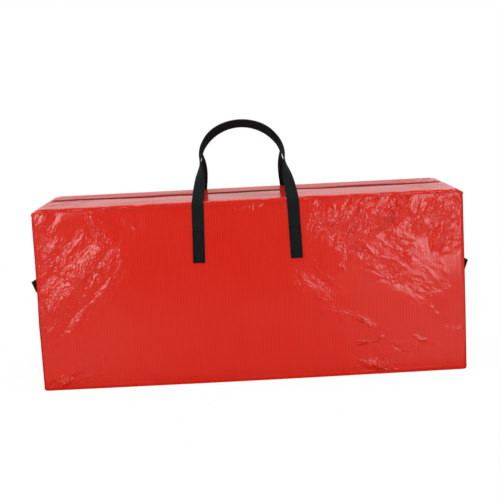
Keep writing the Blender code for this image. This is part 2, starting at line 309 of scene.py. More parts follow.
# A material's or the world's nodes
class NodeSheet:
    def __init__(self, owner, constants=()):
        self.owner, self.tree = owner, owner.node_tree
        self.shader = self.tree.nodes.get("Principled BSDF")
        for key, value in dict(constants).items():
            self.shader.inputs[key].default_value = value

    def add(self, kind, settings=None, inputs=None, output=0):
        node = self.tree.nodes.new(kind)
        for key, value in (settings or {}).items():
            setattr(node, key, value)
        for key, value in (inputs or {}).items():
            if isinstance(value, Signal):
                self.tree.links.new(value.socket, node.inputs[key])
            else:
                node.inputs[key].default_value = value
        return Signal(self, node.outputs[output])

    def tint(self, factor, low, high):
        inputs = {0: factor, 6: low, 7: high}
        return self.add("ShaderNodeMix", {"data_type": "RGBA"}, inputs, 2)

    def noise(self, place, scale, detail=2.0):
        return self.add("ShaderNodeTexNoise", None, {"Vector": place, "Scale": scale, "Detail": detail})

    def stretched(self, place, size, turn=0.0):
        inputs = {"Vector": place, "Scale": (*size, 1), "Rotation": (0, 0, turn)}
        return self.add("ShaderNodeMapping", {"vector_type": "TEXTURE"}, inputs)

    def split(self, place):
        parts = self.add("ShaderNodeSeparateXYZ", None, {0: place})
        return place, *(parts.out(name) for name in "XYZ")

    def cloth(self):
        return self.split(self.add("ShaderNodeUVMap", {"uv_map": "cloth"}))[:3]

    def objectPlace(self):
        return self.split(self.add("ShaderNodeTexCoord", None, None, "Object"))

    # Crumpled facets that drop sharply to their edges
    def foil(self, place, size, stretch, turn, slope):
        place = self.stretched(place, (size * stretch, size), turn)
        wander = self.noise(place, 0.8).out("Color")
        inputs = {"Vector": self.vectors("MULTIPLY_ADD", wander, (0.7, 0.7, 0), place), "Scale": 1.0}
        flat = {"voronoi_dimensions": "2D"}
        cells = self.add("ShaderNodeTexVoronoi", flat, inputs)
        edges = self.add("ShaderNodeTexVoronoi", {**flat, "feature": "DISTANCE_TO_EDGE"}, inputs)
        lean = self.vectors("SUBTRACT", cells.out("Color"), (0.5, 0.5, 0.5))
        away = self.vectors("SUBTRACT", inputs["Vector"], cells.out("Position"))
        steep = self.split(lean)[1] * 2
        tilt = self.vectors("DOT_PRODUCT", away, lean, output="Value") * 0.12
        return (edges * steep + tilt) * (size * slope)

    def vectors(self, operation, *inputs, output=0):
        return self.add("ShaderNodeVectorMath", {"operation": operation}, dict(enumerate(inputs)), output)

    def bump(self, height, distance, below=None):
        inputs = {"Height": height, "Distance": distance, "Strength": 1.0}
        if below:
            inputs["Normal"] = below
        return self.add("ShaderNodeBump", None, inputs)

    def plug(self, **signals):
        for key, signal in signals.items():
            self.tree.links.new(signal.socket, self.shader.inputs[key.replace("_", " ")])
        return self.owner

    def dress(self, tones, shade, rough, height, depth):
        colour = self.tint(shade, tones["deep"], tones["bright"])
        return self.plug(Base_Color=colour, Roughness=rough, Normal=self.bump(height, depth))

    # White for the camera and for glass
    def rays(self):
        path = self.add("ShaderNodeLightPath", None, None, "Is Camera Ray")
        return path.maths("MAXIMUM", path.out("Is Transmission Ray")), path.out("Is Glossy Ray")


def newFinish(name, **constants):
    material = bpy.data.materials.new(name)
    material.use_nodes = True
    return NodeSheet(material, {key.replace("_", " "): value for key, value in constants.items()})


# Finishes
redFilm = {
    "turns": {"crinkleUp": 0.85, "crinkleDown": -0.62},
    "deep": (0.53, 0.0080, 0.0008, 1),
    "bright": (0.61, 0.0130, 0.0020, 1),
    "tapePitch": 0.0076,
    "tapeDepth": 0.00005,
    "gloss": 0.19,
    "crinkleHaze": 0.07,
    "folds": ((0.036, 2.0, 0.0, 0.72), (0.014, 1.7, 0.35, 0.54), (0.0060, 1.8, -0.3, 0.56)),
}


def makeRedFilm():
    sheet = newFinish("redFilm", Specular_IOR_Level=0.45)
    cloth, across, up = sheet.cloth()
    pitch = redFilm["tapePitch"]
    mottle = sheet.noise(cloth, 9.0, 3.0)
    uneven = sheet.noise(sheet.stretched(cloth, (0.016, 0.22)), 1.0) * (pitch * 0.9)
    warp = (across + uneven).wave(pitch)
    weft = (up + uneven).wave(pitch)
    weave = warp * 0.70 + weft * 0.15 + warp * weft * 0.15
    streak = sheet.noise(sheet.stretched(cloth, (0.03, 0.0012)), 1.0)
    shade = (weave * 0.45 + (mottle - 0.5) * 0.3 + (streak - 0.5) * 0.35 + 0.5).maths("MAXIMUM", 0.0)
    rough = (mottle - 0.5) * 0.08 + redFilm["gloss"]
    height = None
    for name, turn in redFilm["turns"].items():
        mask = sheet.add("ShaderNodeAttribute", {"attribute_name": name}, None, "Fac")
        rough = rough + mask * redFilm["crinkleHaze"]
        for size, stretch, swing, slope in redFilm["folds"]:
            layer = sheet.foil(cloth, size, stretch, turn + swing, slope) * mask
            height = height + layer if height else layer
    normal = sheet.bump(weave, redFilm["tapeDepth"], sheet.bump(height, 1.0))
    return sheet.plug(Base_Color=sheet.tint(shade, redFilm["deep"], redFilm["bright"]), Roughness=rough,
                      Normal=normal)


lining = {"deep": (0.30, 0.010, 0.008, 1), "bright": (0.40, 0.016, 0.012, 1)}


def makeLining():
    sheet = newFinish("redLining", Specular_IOR_Level=0.2)
    cloth, across, up = sheet.cloth()
    weave = across.wave(redFilm["tapePitch"]) * 0.5 + up.wave(redFilm["tapePitch"]) * 0.5
    cloudy = sheet.noise(cloth, 14.0, 3.0)
    return sheet.dress(lining, (weave * 0.2 + cloudy).clear(0.1, 0.9), cloudy * 0.1 + 0.55, weave, 0.00012)


tape = {"deep": (0.16, 0.005, 0.004, 1), "bright": (0.28, 0.010, 0.008, 1), "rib": 0.0011}


def makeTape():
    sheet = newFinish("redTape", Specular_IOR_Level=0.08, Sheen_Weight=0.05)
    cloth, along, across = sheet.cloth()
    columns = across.wave(tape["rib"] * 2)
    herring = (along + columns.maths("ABSOLUTE") * tape["rib"]).wave(tape["rib"])
    worn = sheet.noise(cloth, 60.0, 3.0)
    shade = (herring * 0.25 + worn).clear(0.1, 0.9)
    return sheet.dress(tape, shade, worn * 0.15 + 0.6, herring + columns * 0.6, 0.00010)


coil = {"deep": (0.30, 0.008, 0.006, 1), "bright": (0.45, 0.016, 0.012, 1)}


def makeCoil():
    sheet = newFinish("redCoil", Specular_IOR_Level=0.45)
    place = sheet.objectPlace()[0]
    worn = sheet.noise(place, 220.0, 3.0)
    return sheet.dress(coil, worn, worn * 0.2 + 0.30, sheet.noise(place, 900.0), 0.00002)


enamel = {"deep": (0.36, 0.010, 0.008, 1), "bright": (0.50, 0.020, 0.015, 1)}


def makeEnamel():
    sheet = newFinish("redEnamel", Metallic=0.25, Coat_Weight=0.35, Coat_Roughness=0.12)
    place = sheet.objectPlace()[0]
    worn = sheet.noise(place, 320.0, 4.0)
    orangePeel = sheet.noise(place, 1500.0, 1.0)
    return sheet.dress(enamel, worn.clear(0.35, 0.75), worn * 0.18 + 0.20, orangePeel, 0.00001)


blackWeb = {"deep": (0.0032, 0.0044, 0.0047, 1), "bright": (0.0145, 0.0190, 0.0200, 1),
            "rib": 0.0021, "pick": 0.0013}


def makeWebbingFinish():
    sheet = newFinish("blackWebbing", Specular_IOR_Level=0.05)
    cloth, along, across = sheet.cloth()
    ribs = across.wave(blackWeb["rib"])
    picks = (along + ribs * (blackWeb["pick"] * 0.4)).wave(blackWeb["pick"])
    weave = ribs * 0.6 + picks * 0.4
    fluff = sheet.noise(sheet.stretched(cloth, (0.006, 0.0011)), 1.0, 3.0)
    shade = (weave * 0.30 + (fluff - 0.5) * 0.8 + 0.45).clear(0.0, 1.0)
    return sheet.dress(blackWeb, shade, fluff * 0.18 + 0.64, weave, 0.00016)


threads = {
    "black": {"deep": (0.0003, 0.0003, 0.0004, 1), "bright": (0.0012, 0.0013, 0.0014, 1)},
    "red": {"deep": (0.30, 0.006, 0.005, 1), "bright": (0.52, 0.020, 0.016, 1)},
    "twist": 0.0009,
}


def makeThread(tone):
    sheet = newFinish(tone + "Thread", Specular_IOR_Level=0.05)
    place, x, y, z = sheet.objectPlace()
    ply = (x + z + y).wave(threads["twist"])
    worn = sheet.noise(place, 400.0)
    return sheet.dress(threads[tone], (ply * 0.3 + worn).clear(0.0, 1.0), worn * 0.2 + 0.42, ply, 0.00005)


finishes = {
    "film": makeRedFilm(),
    "lining": makeLining(),
    "tape": makeTape(),
    "coil": makeCoil(),
    "enamel": makeEnamel(),
    "webbing": makeWebbingFinish(),
    "blackThread": makeThread("black"),
    "redThread": makeThread("red"),
}
print("finishes made")


# Folds and crinkles of the sheet
def softNoise(across, up, size, seed, waves=9):
    pickOne = np.random.default_rng(seed)
    total = np.zeros_like(across)
    for _ in range(waves):
        angle = pickOne.uniform(0, math.tau)
        length = size * pickOne.uniform(0.7, 1.7)
        phase = pickOne.uniform(0, math.tau)
        total += np.sin((across * math.cos(angle) + up * math.sin(angle)) * math.tau / length + phase)
    return total / math.sqrt(waves)


# Flat facets between straight creases, as on crumpled foil
def crumple(across, up, size, seed, stretch=1.0, angle=0.0, folds=8):
    pickOne = np.random.default_rng(seed)
    first = (across * math.cos(angle) + up * math.sin(angle)) / (size * stretch)
    second = (up * math.cos(angle) - across * math.sin(angle)) / size
    total = np.zeros_like(across)
    for _ in range(folds):
        turn = pickOne.uniform(0, math.pi)
        ramp = first * math.cos(turn) + second * math.sin(turn)
        ramp = ramp * pickOne.uniform(0.5, 1.2) + pickOne.uniform(0, 1) + 0.45 * total
        total = total + (np.abs((ramp % 1) * 2 - 1) - 0.5) * pickOne.uniform(0.6, 1.0)
    return total / math.sqrt(folds)


# Creases: start and end along the wall and up it, width, height, lean, crinkle
frontCreases = (
    (-0.640, 0.150, -0.371, 0.425, 0.034, 0.0072, 0.5, 0.40),
    (-0.564, 0.354, -0.528, 0.444, 0.014, 0.0030, 0.5, 0.55),
    (-0.442, 0.500, -0.403, 0.420, 0.006, 0.0022, 0.3, 0.35),
    (-0.446, 0.474, -0.427, 0.430, 0.005, 0.0014, 0.3, 0.20),
    (-0.361, 0.490, -0.321, 0.456, 0.006, 0.0010, 0.2, 0.25),
    (-0.562, 0.175, -0.534, 0.194, 0.006, 0.0012, 0.2, 0.15),
    (-0.595, 0.015, -0.546, 0.055, 0.006, 0.0020, 0.3, 0.30),
    (-0.563, 0.014, -0.506, 0.050, 0.007, 0.0020, 0.3, 0.30),
    (-0.510, 0.029, -0.433, 0.046, 0.007, 0.0013, 0.3, 0.25),
    (-0.531, 0.265, -0.464, 0.325, 0.010, 0.0016, -0.3, 0.45),
    (0.190, 0.413, 0.244, 0.496, 0.008, 0.0026, 0.4, 0.50),
    (0.206, 0.403, 0.242, 0.453, 0.006, 0.0016, 0.4, 0.40),
    (0.264, 0.426, 0.323, 0.497, 0.010, 0.0028, 0.4, 0.70),
    (0.287, 0.419, 0.362, 0.478, 0.010, 0.0026, 0.4, 0.80),
    (0.361, 0.421, 0.396, 0.482, 0.010, 0.0026, 0.4, 0.75),
    (0.407, 0.473, 0.448, 0.511, 0.010, 0.0022, 0.3, 0.70),
    (0.504, 0.459, 0.575, 0.498, 0.009, 0.0026, 0.4, 0.50),
    (0.569, 0.507, 0.603, 0.468, 0.007, 0.0020, 0.4, 0.45),
    (0.530, 0.343, 0.558, 0.280, 0.006, 0.0022, 0.3, 0.15),
    (0.531, 0.372, 0.571, 0.404, 0.012, 0.0026, 0.4, 0.40),
    (0.271, 0.385, 0.342, 0.361, 0.007, 0.0016, 0.3, 0.40),
    (0.363, 0.392, 0.402, 0.361, 0.007, 0.0018, 0.3, 0.40),
    (0.397, 0.405, 0.434, 0.383, 0.007, 0.0020, 0.3, 0.40),
    (0.411, 0.372, 0.447, 0.341, 0.011, 0.0022, 0.4, 0.55),
    (0.345, 0.358, 0.431, 0.281, 0.010, 0.0018, 0.3, 0.60),
    (0.483, 0.287, 0.517, 0.247, 0.005, 0.0018, 0.3, 0.20),
    (0.468, 0.250, 0.496, 0.222, 0.005, 0.0016, 0.3, 0.20),
    (0.496, 0.222, 0.511, 0.227, 0.005, 0.0014, 0.3, 0.20),
    (0.502, 0.198, 0.530, 0.176, 0.005, 0.0014, 0.3, 0.20),
    (0.222, 0.207, 0.322, 0.160, 0.007, 0.0014, 0.3, 0.55),
    (0.322, 0.157, 0.350, 0.141, 0.006, 0.0012, 0.3, 0.30),
    (0.288, 0.096, 0.378, 0.112, 0.006, 0.0013, 0.3, 0.40),
    (0.378, 0.098, 0.438, 0.064, 0.005, 0.0018, 0.3, 0.35),
    (0.448, 0.109, 0.494, 0.091, 0.006, 0.0015, 0.3, 0.30),
    (0.304, 0.039, 0.402, 0.015, 0.011, 0.0010, 0.3, 0.60),
    (0.541, 0.116, 0.596, 0.125, 0.007, 0.0020, 0.4, 0.20),
    (0.579, 0.140, 0.597, 0.154, 0.005, 0.0013, 0.3, 0.10),
    (0.574, 0.179, 0.586, 0.193, 0.005, 0.0013, 0.3, 0.10),
    (0.540, 0.252, 0.566, 0.245, 0.006, 0.0016, 0.3, 0.20),
    (0.154, 0.296, 0.210, 0.266, 0.007, 0.0008, 0.3, 0.30),
    (0.250, 0.334, 0.263, 0.310, 0.005, 0.0008, 0.3, 0.25),
    (0.458, 0.439, 0.498, 0.477, 0.014, 0.0020, 0.3, 0.35),
)

# Crumpled patches: middle along and up, half width and height, angle, strength, facet size, stretch
frontPatches = (
    (-0.500, 0.295, 0.170, 0.034, 0.77, 0.34, 0.018, 1.6),
    (-0.545, 0.400, 0.060, 0.034, 1.15, 0.30, 0.022, 1.8),
    (-0.420, 0.455, 0.060, 0.030, -1.10, 0.22, 0.016, 1.8),
    (0.310, 0.450, 0.075, 0.048, 0.80, 0.85, 0.019, 1.8),
    (0.220, 0.445, 0.035, 0.060, 1.00, 0.70, 0.016, 2.0),
    (0.385, 0.455, 0.045, 0.050, 1.10, 0.85, 0.018, 1.4),
    (0.425, 0.488, 0.040, 0.024, 0.60, 0.80, 0.015, 1.4),
    (0.520, 0.455, 0.085, 0.050, 0.40, 0.60, 0.026, 1.5),
    (0.420, 0.370, 0.060, 0.040, -0.60, 0.55, 0.016, 1.5),
    (0.375, 0.325, 0.070, 0.032, -0.75, 0.50, 0.015, 1.6),
    (0.300, 0.372, 0.055, 0.018, -0.35, 0.55, 0.014, 1.6),
    (0.545, 0.390, 0.040, 0.060, 1.20, 0.50, 0.022, 1.5),
    (0.490, 0.260, 0.045, 0.060, -0.90, 0.25, 0.018, 1.8),
    (0.180, 0.285, 0.060, 0.035, -0.50, 0.30, 0.015, 1.5),
    (0.285, 0.175, 0.080, 0.020, -0.44, 0.16, 0.013, 1.6),
    (0.400, 0.090, 0.110, 0.022, -0.15, 0.14, 0.014, 1.6),
    (0.350, 0.027, 0.060, 0.018, -0.20, 0.45, 0.012, 1.5),
    (-0.520, 0.035, 0.080, 0.028, 0.55, 0.45, 0.014, 1.8),
    (0.565, 0.130, 0.040, 0.040, 0.30, 0.15, 0.016, 1.5),
    (0.0, 0.500, 0.060, 0.012, 0.05, 0.25, 0.012, 1.4),
    (-0.570, 0.478, 0.050, 0.026, 0.90, 0.34, 0.013, 1.6),
)


# Creases that run from a wall's corners and edges, for the sides the photograph doesn't show
def strewnCreases(halfWidth, seed, count):
    pickOne = np.random.default_rng(seed)
    draw = pickOne.uniform
    creases, patches = [], []
    for _ in range(count):
        side = pickOne.choice((-1, 1))
        way = 1 if draw() < 0.65 else -1
        reach = abs(pickOne.normal(0, 0.16))
        across = side * max(halfWidth - 0.02 - reach, 0.02)
        up = draw(0.36, 0.49) if way > 0 else draw(0.02, 0.20)
        angle = way * side * draw(0.3, 1.2) + pickOne.normal(0, 0.25)
        length = draw(0.03, 0.11)
        endAcross = across - side * abs(math.cos(angle)) * length
        endUp = up - way * abs(math.sin(angle)) * length
        creases.append((across, up, endAcross, endUp, draw(0.005, 0.014), draw(0.001, 0.003), draw(-0.5, 0.5),
                        draw(0.2, 0.7)))
    for _ in range(max(count // 3, 3)):
        side = pickOne.choice((-1, 1))
        patches.append((side * draw(0.45, 0.9) * halfWidth, draw(0.28, 0.47), draw(0.04, 0.09), draw(0.03, 0.05),
                        draw(-1, 1), draw(0.4, 0.8), draw(0.014, 0.022), draw(1.2, 1.8)))
    return creases, patches


# Thin creases are lower, lit along one side, and crinkled in a narrower band than wide ones
creaseForm = {
    "thinBelow": 0.009,
    "thin": {"lift": 0.22, "crinkle": 1.5, "spread": 0.75},
    "wide": {"lift": 0.7, "crinkle": 1.0, "spread": 2.2},
    "thinLean": 0.8,
    "wobble": 0.35,
    "fade": 0.3,
    "sharpness": 1.6,
    "mostCrinkle": 1.1,
}


def creaseRelief(across, up, creases):
    rise = np.zeros_like(across)
    mask = np.zeros((2, *across.shape))
    for number, (x0, z0, x1, z1, width, height, lean, crinkle) in enumerate(creases):
        length = math.hypot(x1 - x0, z1 - z0)
        wayX, wayZ = (x1 - x0) / length, (z1 - z0) / length
        run = (across - x0) * wayX + (up - z0) * wayZ
        off = (up - z0) * wayX - (across - x0) * wayZ
        near = (run > -length) & (run < 2 * length) & (np.abs(off) < 6 * width)
        run, off = run[near], off[near]
        wobble = softNoise(run, run * 0, length * 0.5, 100 + number, 4) * width * creaseForm["wobble"]
        fade = creaseForm["fade"]
        fade = ease(run / (fade * length) + fade) * ease((length - run) / (fade * length) + fade)
        steps = (off + wobble) / width
        thin = width < creaseForm["thinBelow"]
        form = creaseForm["thin" if thin else "wide"]
        lean = creaseForm["thinLean"] if thin else lean
        ridge = np.exp(-np.abs(steps) ** creaseForm["sharpness"])
        rise[near] += form["lift"] * height * fade * ridge * (1 + lean * np.tanh(2 * steps))
        falling = int((x1 - x0) * (z1 - z0) < 0)
        cover = min(crinkle * form["crinkle"], creaseForm["mostCrinkle"]) * np.exp(-(steps / form["spread"]) ** 2)
        mask[falling, near] = np.maximum(mask[falling, near], cover * fade)
    return rise, mask


patchForm = {"reach": 2.2, "edgeSize": 0.06, "edgeDepth": 0.22, "falloff": 2.4, "lump": 0.07, "fine": 0.03}


def patchRelief(across, up, patches, seed):
    rise = np.zeros_like(across)
    mask = np.zeros((2, *across.shape))
    for number, (x, z, wide, high, angle, strength, size, stretch) in enumerate(patches):
        first = ((across - x) * math.cos(angle) + (up - z) * math.sin(angle)) / wide
        second = ((up - z) * math.cos(angle) - (across - x) * math.sin(angle)) / high
        away = np.hypot(first, second)
        near = away < patchForm["reach"]
        here = across[near], up[near]
        edge = softNoise(*here, patchForm["edgeSize"], seed + number, 5) * patchForm["edgeDepth"]
        cover = strength * np.exp(-(away[near] + edge).clip(0, 9) ** patchForm["falloff"])
        lump = crumple(*here, size, seed + 7 * number, stretch, angle)
        fine = crumple(*here, size * 0.5, seed + 11 * number, stretch, angle + 0.3)
        rise[near] += cover * (lump * size * patchForm["lump"] + fine * size * patchForm["fine"])
        falling = int(angle < 0)
        mask[falling, near] = np.maximum(mask[falling, near], cover)
    return rise, mask


wallForm = {
    "bulge": 0.0024,
    "waveHeight": 0.0011,
    "waveSize": 0.30,
    "seamRidge": 0.0011,
    "seamInset": 0.002,
    "footRidge": 0.0006,
    "footSeam": 0.012,
    "seamWidth": 0.0030,
    "topLean": 0.0022,
    "topFall": 0.007,
    "edgeFade": 0.035,
    "strapCalm": 0.95,
    "gripCalm": 0.9,
    "seeds": {"front": 3, "back": 211, "left": 307, "right": 401},
}
strewn = {
    "front": (frontCreases, frontPatches),
    "back": strewnCreases(0.60, 31, 34),
    "left": strewnCreases(0.18, 47, 12),
    "right": strewnCreases(0.18, 53, 12),
}


# How far a wall stands out from its plane, and how crinkled it is there
def wallRelief(face, across, up):
    creases, patches = strewn[face]
    seed = wallForm["seeds"][face]
    rise, mask = creaseRelief(across, up, creases)
    moreRise, moreMask = patchRelief(across, up, patches, seed)
    rise, mask = rise + moreRise, np.maximum(mask, moreMask)
    if face in ("front", "back"):
        half, full = halfLength, bellyAt(across, up)
        calm = 1 - wallForm["strapCalm"] * nearStrap(across, up)
    else:
        half, full = halfDepth, 0
        nearGrip = wallForm["gripCalm"] * ease(2 - np.abs(up - grip["height"]) / 0.03)
        calm = 1 - nearGrip * ease(2 - np.abs(across) / 0.14)
    rise *= calm
    rise += softNoise(across, up, wallForm["waveSize"], seed) * wallForm["waveHeight"] * (0.3 + 0.7 * calm)
    edge = ease((half - np.abs(across)) / wallForm["edgeFade"])
    rise += wallForm["bulge"] * np.sin(np.pi * np.clip(up / lidLevel, 0, 1)) * edge
    rise *= 0.25 + 0.75 * edge
    rise *= ease((up - 0.002) / 0.03) * ease((bag["wallTop"] + 0.006 - up) / 0.03)
    ridge = (np.abs(across) - (half - bag["uprightRound"] - wallForm["seamInset"])) / wallForm["seamWidth"]
    rise += wallForm["seamRidge"] * np.exp(-ridge ** 2) * ease(up / 0.02)
    rise += wallForm["footRidge"] * np.exp(-((up - wallForm["footSeam"]) / wallForm["seamWidth"]) ** 2)
    lean = wallForm["topLean"] * np.exp(-(bag["wallTop"] - up).clip(0, 1) / wallForm["topFall"])
    return rise - lean + full, mask * (0.3 + 0.7 * calm)


# The full bag spreads a little towards the floor
def flareAt(up):
    return bag["flare"] * ease((bag["wallTop"] - up) / bag["wallTop"])


def bellyAt(across, up):
    middle = 1 - np.clip(across / halfLength, -1, 1) ** 2
    return (bag["belly"] * middle + bag["footLean"]) * ease((bag["wallTop"] - up) / 0.36)


# Handles, as in the solid model
handle = {
    "middle": -0.006,
    "legToMiddle": 0.134,
    "splay": math.radians(1.6),
    "tailEnd": 0.355,
    "stitchLine": 0.446,
    "rise": 0.2240,
    "archHalfWidth": 0.1225,
    "archRise": 0.132,
    "archRoundness": 0.985,
    "twistEase": 1.8,
    "twistExtra": math.radians(18),
    "width": 0.034,
    "thickness": 0.0022,
    "solidThickness": 0.0025,
    "gap": 0.0003,
    "edgeRound": 0.009,
    "hemLift": 0.0055,
    "archShift": -0.0034,
    "step": 0.004,
    "bevel": 0.0006,
    "hinge": (-0.004, 0.008),
}
grip = {
    "height": 0.280,
    "halfSpan": 0.085,
    "tail": 0.040,
    "rise": 0.0480,
    "droop": math.radians(20),
    "limit": math.radians(80),
    "clearance": 0.001,
    "hinge": (0.014, -0.012),
}


def legOffset(level):
    return handle["legToMiddle"] + (lidLevel - level) * math.tan(handle["splay"])


def nearStrap(across, up):
    away = np.minimum(*(np.abs(across - (handle["middle"] + way * legOffset(up))) for way in (-1, 1)))
    return ease((0.060 - away) / 0.038) * ease((up - handle["tailEnd"] + 0.06) / 0.05)


# Front and back walls wrap round the upright corners; their feet turn under
walls = {
    "cells": {"front": 0.0040, "back": 0.0050, "left": 0.0045, "right": 0.0045},
    "endInset": 0.0001,
    "endGap": 0.001,
    "endLift": 0.0005,
    "hemFrom": 0.44,
    "hemOver": 0.07,
}


def footPath(run):
    turn, under = bag["footRound"], bag["underTurn"]
    angle = np.clip((run - under) / turn, 0, math.pi / 2)
    inset = turn * (1 - np.sin(angle)) + np.clip(under - run, 0, None)
    up = turn * (1 - np.cos(angle)) + np.clip(run - under - turn * math.pi / 2, 0, None)
    return inset, up, np.sin(angle)


def startWall(name, face, width):
    height = bag["underTurn"] + bag["footRound"] * (math.pi / 2 - 1) + bag["wallTop"]
    piece = addSheet(name, width, height, walls["cells"][face])
    across, foot, _ = places(piece).T
    return piece, across, *footPath(foot + height / 2)


def keepCrinkle(piece, rising, falling=None):
    for name, mask in (("crinkleUp", rising), ("crinkleDown", rising * 0 if falling is None else falling)):
        kept = piece.data.attributes.new(name, "FLOAT", "POINT")
        kept.data.foreach_set("value", np.asarray(mask, np.float32))


# Film outside, lining inside
def finishSheet(piece, body, stands):
    addModifier(piece, "SOLIDIFY", thickness=bag["sheet"], offset=-1, material_offset=1)
    finishPiece(piece, [finishes["film"], finishes["lining"]], body, stands, turned=False)


def makeLongWall(face, side):
    half, depth, turn = halfLength - bag["wallInset"], halfDepth - bag["wallInset"], bag["uprightRound"]
    core = half - turn
    piece, run, inset, up, upright = startWall(face + "Wall", face, 2 * (core + turn * math.pi / 2 + bag["wrap"]))
    away = np.clip(np.abs(run) - core, 0, None)
    angle = np.clip(away / turn, 0, math.pi / 2)
    straight = np.clip(away - turn * math.pi / 2, 0, None)
    across = np.clip(run, -core, core)
    rise, mask = wallRelief(face, -side * run, up)
    full = bellyAt(across, up) * upright
    out = turn - inset + rise * upright - full
    x = across * (1 + flareAt(up) / half) + np.sign(run) * np.sin(angle) * out
    y = -(depth - turn) - np.cos(angle) * out + straight - full
    lift = hemRise(x, side) * ease((up - walls["hemFrom"]) / walls["hemOver"])
    movePlaces(piece, -side * x, -side * y, up + lift)
    keepCrinkle(piece, *(mask * upright))
    finishSheet(piece, "bag", [face + "_panel"])


def makeEndWall(face, end):
    half = halfLength - bag["wallInset"] - bag["sheet"] - walls["endInset"]
    width = 2 * (halfDepth - bag["uprightRound"] - walls["endGap"])
    piece, run, inset, up, upright = startWall(face + "EndWall", face, width)
    rise, mask = wallRelief(face, run * end, up)
    rise *= ease((width / 2 - np.abs(run)) / 0.03)
    out = half - inset + rise * upright + flareAt(up)
    spread = 1 + bellyAt(halfLength, up) * upright / halfDepth
    movePlaces(piece, end * out, end * run * spread, up + walls["endLift"])
    keepCrinkle(piece, *(mask * upright))
    finishSheet(piece, "bag", [face + "_end_panel"])


floorSheet = {"inset": 0.0065, "cell": 0.008, "edge": 0.0023, "sag": 0.0021, "wave": 0.0012, "lump": 0.002}


def makeFloorSheet():
    width, depth = 2 * (halfLength - floorSheet["inset"]), 2 * (halfDepth - floorSheet["inset"])
    piece = addSheet("bagBottom", width, depth, floorSheet["cell"])
    x, y, _ = places(piece).T
    edge = np.minimum(width / 2 - np.abs(x), depth / 2 - np.abs(y))
    rest = ease(edge / 0.03 - 0.3)
    lumps = softNoise(x, y, 0.22, 71) * floorSheet["wave"] + crumple(x, y, 0.05, 72) * floorSheet["lump"]
    up = floorSheet["edge"] - floorSheet["sag"] * rest + np.clip(lumps, 0, None) * rest
    movePlaces(piece, x, y, up + bag["sheet"])
    keepCrinkle(piece, 0.25 * np.abs(softNoise(x, y, 0.12, 73)).clip(0, 1))
    addModifier(piece, "SOLIDIFY", thickness=bag["sheet"], offset=-1)
    finishPiece(piece, finishes["film"], "bag", ["bottom_panel"], turned=False)


for wallName, wallSide in longSides:
    makeLongWall(wallName, wallSide)
for wallName, wallEnd in shortSides:
    makeEndWall(wallName, wallEnd)
makeFloorSheet()
print("walls and bottom made")


# Top: each half runs from its seam on the wall, over the edge and in to the zip, where it folds under
top = {
    "cell": 0.0042,
    "fold": 0.0015,
    "foldReach": 0.010,
    "wave": 0.0009,
    "zipWave": 0.0008,
    "hemWave": 0.0004,
    "sway": 0.0007,
    "ripple": 0.0003,
    "tuck": 0.0020,
}


def lidRise(x, y):
    ends = ease((halfLength - bag["hemRound"] - np.abs(x)) / bag["lidEnds"])
    rise = np.interp(y, *zip(*bag["lid"])) * ends
    rise += softNoise(x, y, 0.20, 83) * top["wave"] * ease((halfDepth - 0.02 - np.abs(y)) / 0.06) * ends
    fromZip = np.abs(y - bag["zipPlace"])
    rise += softNoise(x, x * 0, 0.16, 85) * top["zipWave"] * ease(1 - fromZip / 0.08) * ends
    hemWave = softNoise(x, y, 0.028, 89, 6) * top["hemWave"]
    return rise + hemWave * ease((np.abs(x) - 0.50) / 0.07) * ease((-y - 0.17) / 0.01)


def zipSway(x):
    return softNoise(x, x * 0, 0.35, 87, 5) * top["sway"] * ease((halfLength - np.abs(x)) / 0.08)


def makeTopHalf(name, side):
    turn, hem, fall, fold = bag["uprightRound"], bag["hemRound"], bag["hemFall"], top["fold"]
    core = halfLength - turn
    inner = bag["zipEdge"] + fold + side * bag["zipPlace"]
    deep = halfDepth - turn - inner
    steps = np.linspace(0, math.pi / 2, 60)
    bend = runOf(np.stack([hem * np.sin(steps), fall * (1 - np.cos(steps))], 1))
    skirt = turn - hem + bend[-1] + bag["skirtDrop"] - fall
    foldRun = fold * math.pi + top["foldReach"]
    height = foldRun + deep + skirt
    piece = addSheet(name + "Top", 2 * (core + skirt), height, top["cell"])
    run, depth, _ = places(piece).T
    depth = depth + height / 2 - foldRun
    overX, overY = np.clip(np.abs(run) - core, 0, None), np.clip(depth - deep, 0, None)
    over = np.maximum(overX, overY)
    corner = math.pi / 4 * np.minimum(overX, overY) / np.maximum(over, 1e-9)
    plan = np.where(overY > overX, math.pi / 2 - corner, corner)
    past = over - (turn - hem)
    angle = np.interp(past, bend, steps)
    reach = np.minimum(over, turn - hem) + hem * np.sin(angle)
    drop = fall * (1 - np.cos(angle)) + np.clip(past - bend[-1], 0, None)
    foldTurn = np.clip(-depth / fold, 0, math.pi)
    foldBack = np.clip(-depth - fold * math.pi, 0, None)
    under = -fold * (1 - np.cos(foldTurn))
    across = np.clip(np.abs(run), 0, core) + reach * np.cos(plan) + under * np.sin(angle) * np.cos(plan)
    x = np.sign(run) * across
    y = inner + np.clip(depth, 0, deep) + reach * np.sin(plan) - fold * np.sin(foldTurn) + foldBack
    z = lidLevel - drop + under * np.cos(angle) + lidRise(side * x, side * y)
    ripple = softNoise(x, x * 0, 0.07, 91 + side, 6) * top["ripple"] * ease(drop / fall)
    tuck = top["tuck"] * ease((past - bend[-1]) / (bag["skirtDrop"] - fall) * 1.6 - 0.6)
    y += (ripple - tuck) * np.sin(plan)
    y += side * zipSway(x * side) * ease(1 - (y - inner) / 0.05)
    movePlaces(piece, side * x, side * y, z)
    ends = ease(overX / 0.01 + (np.abs(x) - 0.45) / 0.1)
    mask = 0.35 * np.abs(softNoise(x, y, 0.10, 95 + side)).clip(0, 1) * ends
    keepCrinkle(piece, mask + 0.15 * ease(overY / 0.01))
    finishSheet(piece, None, [f"{name}_top_hem", f"{name}_flap_panel"])
    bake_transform(piece)


